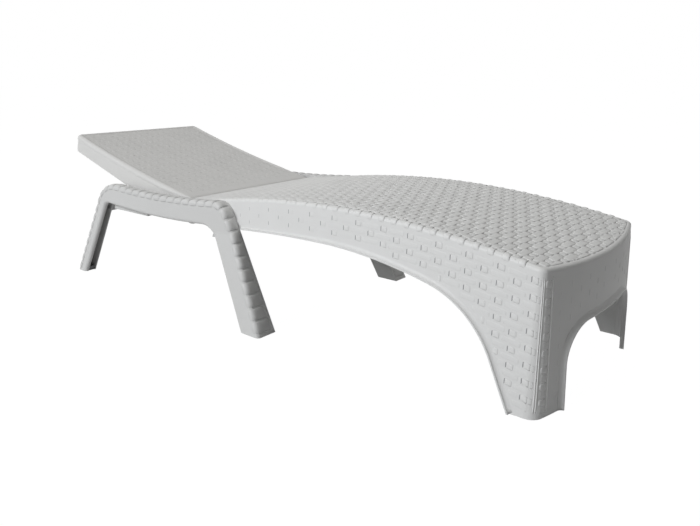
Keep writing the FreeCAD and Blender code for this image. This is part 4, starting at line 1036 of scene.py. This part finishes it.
@dataclass
class WovenSeat:
    """The woven relief on the seat's lying surface, its edges, skirts and corners."""

    form: SeatForm
    tree: ReliefTree
    paints: Paints
    weave: Weave = Weave()
    skirt_weave: Weave = Weave(0.020, 0.0195, 0.0010)
    top_relief: Relief = Relief(0.0020, 4.0, 14.0)
    skirt_relief: Relief = Relief(0.0020, 9.0, 7.0)
    slit_relief: Relief = Relief(0.0011, 2.0, 8.0)
    strap_relief: Relief = Relief(0.0022, 3.5, 2.2)
    ridge_relief: Relief = Relief(0.0018, 2.0, 14.0)
    crossing_strength: float = 1.0
    float_strength: float = 0.75
    skirt_crossing: float = 0.46
    skirt_float: float = 0.30
    overlap: float = 0.0034
    crossing_overlap: float = 0.0012
    rear_margin: float = 0.016
    foot_margin: float = 0.0105
    strap_in: float = 0.010
    plain_in: float = 0.001
    strap_down: float = 0.02025
    bare_band: float = 0.012
    leg_band: float = 1.6
    leg_z: float = 0.18
    clip_steps: int = 24
    slit_in: float = 0.0008
    slit_margin: float = 0.001
    side_end: float = 0.9275
    skirt_starts: tuple[float, float] = (0.897, 0.857)
    ridges: Sequence[float] = (0.9310, 0.9364, 0.9695)
    ridge_width: float = 0.0040
    corner_squares: tuple[float, float] = (0.9410, 0.9660)
    ground_margin: float = 0.014
    fade_start: float = -0.15
    fade_end: float = 0.55
    faintest: float = 0.4

    def build(self) -> None:
        """Make the seat's five pieces of relief."""
        top = CellNet("seat_top_cells", columns=6, rows=5)
        skirts = CellNet("seat_skirt_cells")
        slits = CellNet("seat_slit_cells", columns=2, rows=4)
        straps = CellNet("edge_strap_cells", columns=6, rows=10)
        ridges = CellNet("corner_ridge_cells", columns=6, rows=12)
        self._lay_top(top)
        for side in (-1.0, 1.0):
            self._lay_straps(straps, side)
            self._lay_skirt(skirts, slits, side)
            self._lay_corner(skirts, ridges, side)
        for name, net, finish, relief in (
                # The seat weave's finish paints shade at each strand's diving end.
                ("seat_weave", top, Finish.WEAVE, self.top_relief),
                ("skirt_weave", skirts, Finish.RESIN, self.skirt_relief),
                ("skirt_slit_shades", slits, Finish.SLIT, self.slit_relief),
                ("edge_straps", straps, Finish.RESIN, self.strap_relief),
                ("corner_ridges", ridges, Finish.RESIN, self.ridge_relief)):
            piece = self.tree.apply(name, net, relief, self.paints.get(finish))
            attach(piece, "base")

    def _strength(self, x: float) -> float:
        """The relief's share at x, which fades towards the hinge."""
        share = min(max((x - self.fade_start) / (self.fade_end - self.fade_start), 0.0), 1.0)
        return self.faintest + (1.0 - self.faintest) * share * share * (3.0 - 2.0 * share)

    def _rim_x(self, y: float) -> float:
        """Largest x of the weave on the lying surface at y."""
        return self.form.foot_x(y, self.form.top(self.form.corner_x)) - self.foot_margin

    def _rim_y(self, x: float) -> float:
        """Largest y of the weave on the lying surface at x."""
        form = self.form
        radius = form.foot_radius - form.top(form.corner_x) * form.draft - self.foot_margin
        return math.sqrt(max(radius ** 2 - (x - form.foot_centre_x) ** 2, 0.0))

    def _row(self, row: int) -> tuple[float, float]:
        """Depths between which a row of the skirts lies."""
        upper = self.strap_down + row * self.skirt_weave.width + self.skirt_weave.seam / 2
        return upper, upper + self.skirt_weave.width - self.skirt_weave.seam

    def _lay_top(self, net: CellNet) -> None:
        """Lay strands across the lying surface, column after column."""
        form, weave = self.form, self.weave
        start = form.rear_x + self.rear_margin
        first = math.floor(start / weave.width)
        last = math.ceil((form.foot_centre_x + form.foot_radius) / weave.width)
        for column in range(first, last):
            low_x = max(column * weave.width + weave.seam / 2, start)
            high_x = (column + 1) * weave.width - weave.seam / 2
            if high_x - low_x < weave.least:
                continue
            inset = self.strap_in if column % 2 == 0 else self.plain_in
            reach = min(form.edge_way((low_x + high_x) / 2) - inset, self._rim_y(low_x + weave.least / 2))
            shift = weave.period / 2 if column % 2 else 0.0

            def surface(y: float, share: float, spread: float, low_x: float = low_x,
                        high_x: float = high_x) -> Vector:
                near = max(low_x - spread, start)
                far = min(high_x + spread, self._rim_x(y))
                x = near + (far - near) * share
                return Vector((x, y, form.top(x)))

            for begin, dive, crossing in weave.strand(shift - weave.module / 2, -reach, reach):
                strength = self.crossing_strength if crossing else self.float_strength
                spread = self.crossing_overlap if crossing else self.overlap
                net.add(partial(surface, spread=spread), (begin, 0.0), (dive, 1.0),
                        strength * self._strength(low_x), outward=False)

    def _lay_straps(self, net: CellNet, side: float) -> None:
        """Lay every second strand over the rounded edge."""
        form, weave = self.form, self.weave
        columns = int((self.side_end - form.rear_x) / weave.width)
        first = math.ceil((form.rear_x + self.rear_margin) / weave.width)
        for column in range(first, first + columns):
            low_x, high_x = column * weave.width, (column + 1) * weave.width
            if column % 2 or high_x > form.corner_x:
                continue
            edge = form.edge_way((low_x + high_x) / 2)
            ways = sorted((side * (edge - self.strap_in), side * (edge + self.strap_down)))
            net.add(form.section, (high_x, ways[0]), (low_x, ways[1]), self._strength(low_x))

    def _lay_skirt(self, net: CellNet, slits: CellNet, side: float) -> None:
        """Lay strands along a skirt, row after row below its edge, with a thin piece in painted shade before
        each crossing for the slit's shadow.
        """
        form, weave = self.form, self.skirt_weave
        start = form.rear_x + self.rear_margin
        surface = partial(form.wall_point, side=side)
        for row in range(int(form.crest.over(form.crest.x) / weave.width)):
            upper, lower = self._row(row)
            for begin, dive, crossing in weave.strand(self.skirt_starts[row % 2], start, self.side_end):
                low, high = self._clip(min(begin, dive), max(begin, dive), lower)
                if high - low < weave.least:
                    continue
                strength = self.skirt_crossing if crossing else self.skirt_float
                ends = (high, low) if begin > dive else (low, high)
                net.add(surface, (ends[0], upper), (ends[1], lower), strength * self._strength(low),
                        outward=side > 0)
                # The slit piece is a dark sheet of painted shade where the groove's shadow falls.
                if crossing and low == dive:
                    slits.add(surface, (low + self.slit_in, upper + self.slit_margin),
                              (low - weave.slit, lower - self.slit_margin), self._strength(low),
                              outward=side > 0)

    def _clip(self, low: float, high: float, drop: float) -> tuple[float, float]:
        """Shorten a cell so that it stays above the arch's cove and the ground."""
        form = self.form

        def floor(way: float) -> float:
            arch = form.arch(way)
            band = (form.lip_up + self.bare_band) * (self.leg_band if arch < self.leg_z else 1.0)
            return max(arch + band, self.ground_margin)

        ways = [low + (high - low) * step / self.clip_steps for step in range(self.clip_steps + 1)]
        kept = [way for way in ways if form.top(way) - drop > floor(way)]
        return (kept[0], kept[-1]) if kept else (low, low)

    def _lay_corner(self, squares: CellNet, ridges: CellNet, side: float) -> None:
        """Lay the squares and the upright ridges of one rounded corner."""
        form = self.form
        floor = form.top(form.corner_x) - self.ground_margin
        surface = partial(form.wall_point, side=side)
        for way in self.ridges:
            ridges.add(surface, (way - self.ridge_width / 2, form.edge_radius),
                       (way + self.ridge_width / 2, floor), outward=side > 0)
        low, high = self.corner_squares
        for row in range(int(floor / self.skirt_weave.width)):
            upper, lower = self._row(row)
            if lower < floor:
                strength = self.skirt_crossing if row % 2 == 0 else self.skirt_float
                squares.add(surface, (high, upper), (low, lower), strength, outward=side > 0)


@dataclass
class WovenFoot:
    """The faint upright slits of the foot wall, as thin raised pieces painted a shade darker to stand for the
    grooves' shadow.
    """

    form: SeatForm
    tree: ReliefTree
    paints: Paints
    weave: Weave = Weave(0.020, 0.0195)
    relief: Relief = Relief(0.0008, 2.0, 8.0)
    top_margin: float = 0.030
    slit_margin: float = 0.001
    arch_margin: float = 0.020
    side_margin: float = 0.020
    ground_margin: float = 0.014

    def build(self) -> None:
        """Make the foot wall's relief."""
        net = CellNet("foot_weave_cells", columns=2, rows=4)
        form, weave = self.form, self.weave
        rim = form.top(form.foot_x(0.0, form.top(form.corner_x))) - self.top_margin
        reach = form.corner_y - self.side_margin
        for row in range(int((rim - self.ground_margin) / weave.width)):
            upper = rim - row * weave.width - self.slit_margin
            lower = upper - weave.width + 2 * self.slit_margin
            arch = self._arch_half(lower)
            shift = weave.module * (0 if row % 2 else 2)
            number = -math.ceil(reach / weave.period)
            while shift + number * weave.period < reach:
                spot = shift + number * weave.period
                number += 1
                if arch < abs(spot) < reach:
                    net.add(self._surface, (spot, lower), (spot + weave.slit, upper))
        # The foot slits wear a painted shade a little darker than the resin.
        piece = self.tree.apply("foot_weave", net, self.relief, self.paints.get(Finish.FAINT_SLIT))
        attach(piece, "base")

    def _surface(self, y: float, z: float) -> Vector:
        """A point of the foot wall."""
        return Vector((self.form.foot_x(y, z), y, z))

    def _arch_half(self, z: float) -> float:
        """Half width of the arch with its cove at a height, or 0 above it."""
        form = self.form
        top = form.end_arch_top + self.arch_margin
        if z >= top:
            return 0.0
        half = form.end_arch_half + self.arch_margin
        radius = form.end_arch_radius + self.arch_margin
        above = z - (top - radius)
        if above <= 0.0:
            return half
        return half - radius + math.sqrt(max(radius ** 2 - above ** 2, 0.0))


@dataclass
class WovenBackrest:
    """The fainter relief on the backrest's dished face."""

    form: BackrestForm
    tree: ReliefTree
    paints: Paints
    weave: Weave = Weave()
    relief: Relief = Relief(0.0009, 4.0, 14.0)
    float_strength: float = 0.7
    start: float = 0.030
    end_margin: float = 0.022
    rim: float = 0.010

    def build(self) -> None:
        """Make the backrest's relief."""
        net = CellNet("backrest_weave_cells")
        form, weave = self.form, self.weave
        end = form.length - self.end_margin
        for column in range(int(end / weave.width) + 1):
            low = max(column * weave.width + weave.seam / 2, self.start)
            high = min((column + 1) * weave.width - weave.seam / 2, end)
            if high - low < weave.least:
                continue
            reach = form.half(high) - self.rim
            shift = (weave.period / 2 if column % 2 else 0.0) - weave.module / 2
            for begin, dive, crossing in weave.strand(shift, -reach, reach):
                net.add(self._surface, (begin, low), (dive, high), 1.0 if crossing else self.float_strength)
        # The backrest weave's finish paints a lighter shade at each strand's diving end.
        piece = self.tree.apply("backrest_weave", net, self.relief, self.paints.get(Finish.FAINT_WEAVE))
        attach(piece, "backrest")

    def _surface(self, across: float, along: float) -> Vector:
        """A point of the face."""
        return self.form.face(along, across)


@dataclass
class BackrestRim:
    """The soft roll around the backrest's free edges."""

    form: BackrestForm
    paints: Paints
    radius: float = 0.0135
    buried_radius: float = 0.0108
    taper: int = 8
    inset: float = 0.0015
    start: float = 0.030
    step: float = 0.012
    around: int = 20

    def build(self) -> None:
        """Make the roll as a closed tube that thins at both ends."""
        form = self.form
        depth = form.edge_radius + self.inset
        path = form.rim_path(self.inset, self.start, self.step)
        line = [form.face(along, across, -depth) for along, across in path]
        up = Vector((math.sin(form.angle), 0.0, math.cos(form.angle)))
        points: list[Vector] = []
        for number, centre in enumerate(line):
            ahead = line[min(number + 1, len(line) - 1)] - line[max(number - 1, 0)]
            out = ahead.cross(up).normalized()
            rise = out.cross(ahead).normalized()
            share = min(number, len(line) - 1 - number, self.taper) / self.taper
            radius = self.buried_radius + (self.radius - self.buried_radius) * share
            for k in range(self.around):
                angle = 2 * math.pi * k / self.around
                points.append(centre + (out * math.cos(angle) + rise * math.sin(angle)) * radius)
        faces = tube_faces(0, len(line), self.around)
        piece = solid("backrest_rim", points, faces, self.paints.get(Finish.BACK_RESIN))
        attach(piece, "backrest")


@dataclass
class ArchCoves:
    """The hollow curve between the seat's walls and the lips around its arches."""

    form: SeatForm
    paints: Paints
    width: float = 0.012
    buried: float = 0.0005
    inlay: float = 0.0002
    fade_x: float = 0.30
    least_scale: float = 0.05
    step: float = 0.010
    curve_steps: int = 6

    def build(self) -> None:
        """Make the coves of the side arches and the end arch."""
        points: list[Vector] = []
        faces: list[Face] = []
        for side in (-1.0, 1.0):
            self._sweep(points, faces, self.form.side_arch(), partial(self._side_point, side), side > 0, True)
        self._sweep(points, faces, self.form.end_arch(), self._end_point, False, False)
        piece = solid("arch_coves", points, faces, self.paints.get(Finish.RESIN))
        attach(piece, "base")

    def _side_point(self, side: float, spot: Vector, out: float) -> Vector:
        """The point for a place on a side wall and a way out of it."""
        return Vector((spot.x, side * (self.form.wall(spot.y) + out), spot.y))

    def _end_point(self, spot: Vector, out: float) -> Vector:
        """The point for a place on the foot wall and a way out of it."""
        return Vector((self.form.foot_x(spot.x, spot.y) + out, spot.x, spot.y))

    def _section(self, scale: float) -> list[tuple[float, float]]:
        """Corners of the cove's section as (out of the wall, away from the edge)."""
        form = self.form
        corners = [(-self.buried, form.lip_up - self.buried)]
        for number in range(self.curve_steps + 1):
            angle = math.pi / 2 * number / self.curve_steps
            out = form.lip_out * scale * (1.0 - math.sin(angle)) - self.inlay
            corners.append((out, form.lip_up - self.inlay + self.width * scale * (1.0 - math.cos(angle))))
        return corners

    def _sweep(self, points: list[Vector], faces: list[Face], path: EdgePath,
               point: Callable[[Vector, float], Vector], turned: bool, fades: bool) -> None:
        """Carry the section along an arch's edge and close both ends.

        Args:
            points: Collects the corners.
            faces: Collects the faces.
            path: The arch's edge.
            point: Gives the point for a place on the wall and a way out of it.
            turned: Whether the faces have to be turned round to face outward.
            fades: Whether the section shrinks with the lip towards the hinge.
        """
        start = len(points)
        count = max(int(path.length / self.step), 2)
        for number in range(count + 1):
            spot, away = path.at(path.length * number / count)
            reach = (spot.x - self.form.lip_start_x) / (self.fade_x - self.form.lip_start_x)
            scale = min(max(reach, self.least_scale), 1.0) if fades else 1.0
            for out, up in self._section(scale):
                points.append(point(spot + away * up, out))
        made = tube_faces(start, count + 1, self.curve_steps + 2)
        faces.extend(face[::-1] if turned else face for face in made)


@dataclass
class BandedFrames:
    """Soft wraps over the rounded rims of the two side frames."""

    form: FrameForm
    tree: ReliefTree
    paints: Paints
    relief: Relief = Relief(0.0034, 3.0, 2.2)
    pitch: float = 0.0395
    seam: float = 0.0015
    inner_share: float = 0.06

    def build(self) -> None:
        """Make the wraps of both frames."""
        net = CellNet("frame_band_cells", columns=8, rows=10)
        path = self.form.outline()
        count = round(path.length / self.pitch)
        pitch = path.length / count
        for side in (-1.0, 1.0):

            def surface(way: float, share: float, side: float = side) -> Vector:
                return self.form.wrap(*path.at(way), share, side)

            for number in range(count):
                start = number * pitch
                net.add(surface, (start, self.inner_share), (start + pitch - self.seam, 1.0),
                        outward=side > 0)
        # The wraps' finish paints shade at each wrap's diving end.
        piece = self.tree.apply("frame_bands", net, self.relief, self.paints.get(Finish.WRAP))
        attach(piece, "base")


# Studio

@dataclass(frozen=True)
class Lamp:
    """One soft lamp."""

    name: str
    spot: Point
    aim: Point
    size: float
    power: float
    colour: Colour

    def build(self) -> None:
        """Hang the lamp."""
        data = bpy.data.lights.new(self.name, "AREA")
        data.shape = "DISK"
        data.size = self.size
        data.energy = self.power
        data.color = self.colour
        lamp = place(self.name, data)
        lamp.location = self.spot
        lamp.rotation_euler = (Vector(self.aim) - Vector(self.spot)).to_track_quat("-Z", "Y").to_euler()


@dataclass(frozen=True)
class View:
    """The camera's place and lens."""

    spot: Point = (1.4108, -1.5350, 0.7409)
    yaw: float = 0.684558
    pitch: float = -0.290430
    lens: float = 32.78
    sensor: float = 36.0

    def build(self) -> None:
        """Set the camera up."""
        data = bpy.data.cameras.new("camera")
        data.lens = self.lens
        data.sensor_fit = "HORIZONTAL"
        data.sensor_width = self.sensor
        camera = place("camera", data)
        camera.location = self.spot
        camera.rotation_euler = (math.pi / 2 + self.pitch, 0.0, self.yaw)
        bpy.context.scene.camera = camera


@dataclass
class Studio:
    """Floor, world, lamps and camera."""

    view: View = View()
    floor_reach: float = 30.0
    floor_drop: float = 0.0005
    floor_grey: float = 0.62
    floor_glow: float = 1.04
    floor_share: float = 0.96
    ambient: float = 0.09
    lamps: Sequence[Lamp] = (
        Lamp("key", (-2.0, -7.0, 3.9), (0.3, 0.0, 0.25), 3.2, 425.0, (0.965, 0.98, 1.0)),
        Lamp("top", (0.0, 0.6, 4.2), (0.2, 0.0, 0.3), 2.6, 36.0, (1.0, 0.985, 0.95)),
    )

    def build(self) -> None:
        """Set the whole studio up."""
        self.view.build()
        for lamp in self.lamps:
            lamp.build()
        self._build_world()
        self._build_floor()
        bpy.context.scene.view_settings.view_transform = "Standard"

    def _build_world(self) -> None:
        """An even grey that lights, and white where it is seen."""
        world = bpy.data.worlds.new("studio")
        bpy.context.scene.world = world
        world.use_nodes = True
        tree = world.node_tree
        tree.nodes.clear()
        sky = make_node(tree, "ShaderNodeBackground", {})
        feed(tree, sky.inputs["Strength"], seen_rays(tree) * (1.0 - self.ambient) + self.ambient)
        feed(tree, sky.inputs["Color"], WHITE)
        end = make_node(tree, "ShaderNodeOutputWorld", {})
        feed(tree, end.inputs["Surface"], sky.outputs[0])

    def _build_floor(self) -> None:
        """A pale floor that keeps the lounger's shadow."""
        reach = self.floor_reach
        mesh = bpy.data.meshes.new("floor")
        corners = [(-reach, -reach, 0.0), (reach, -reach, 0.0), (reach, reach, 0.0), (-reach, reach, 0.0)]
        mesh.from_pydata(corners, [], [(0, 1, 2, 3)])
        floor = place("floor", mesh)
        floor.location = (0.0, 0.0, -self.floor_drop)
        shader = Shader("floor_sheet")
        share = seen_rays(shader.tree) * self.floor_share
        sheet = shader.node("ShaderNodeBsdfDiffuse", {}, {"Color": (*(self.floor_grey,) * 3, 1.0)})
        glow = shader.node("ShaderNodeEmission", {}, {"Color": WHITE, "Strength": self.floor_glow})
        blend = shader.node("ShaderNodeMixShader", {}, {})
        for slot, value in zip(blend.inputs, (share, sheet.outputs[0], glow.outputs[0])):
            feed(shader.tree, slot, value)
        mesh.materials.append(shader.close(blend))
        floor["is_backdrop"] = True


# The lounger

class Lounger:
    """Dresses the CAD nodes and adds the woven relief."""

    FINISHES: dict[Finish, Sequence[str]] = {
        Finish.RESIN: ("seat_shell", "stay_yoke", "stay_clip_left", "stay_clip_right", "hinge_pin_left",
                       "hinge_pin_right"),
        Finish.BACK_RESIN: ("backrest_shell",),
        Finish.FRAME_RESIN: ("side_frame_left", "side_frame_right", "cross_bar"),
        Finish.STEEL: ("stay_pivot_rod", "stay_foot_rod"),
        Finish.FASTENER: ("clip_screws", "cross_bar_screws", "seat_bolts", "seat_nuts"),
        Finish.PLUG: ("foot_plug_mid_left", "foot_plug_mid_right", "foot_plug_rear_left",
                      "foot_plug_rear_right"),
    }

    def __init__(self) -> None:
        """Prepare the finishes and the relief."""
        self.paints = Paints()
        self.tree = ReliefTree()

    def build(self) -> None:
        """Dress every node and build every piece."""
        for finish, nodes in self.FINISHES.items():
            self.paints.dress(nodes, finish)
        seat = SeatForm()
        WovenSeat(seat, self.tree, self.paints).build()
        WovenFoot(seat, self.tree, self.paints).build()
        ArchCoves(seat, self.paints).build()
        backrest = BackrestForm()
        WovenBackrest(backrest, self.tree, self.paints).build()
        BackrestRim(backrest, self.paints).build()
        BandedFrames(FrameForm(), self.tree, self.paints).build()


def write_sizes() -> None:
    """Gather the CAD box and the visual model's box as plain lists of numbers."""
    boxes = {"cad": CAD_BOX, "visual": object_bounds()}
    plain = {name: [[float(value) for value in corner] for corner in box] for name, box in boxes.items()}


def main() -> None:
    """Build the studio and the lounger."""
    logging.basicConfig(level=logging.INFO, format="%(message)s")
    Studio().build()
    Lounger().build()
    write_sizes()


if __name__ == "__main__":
    main()
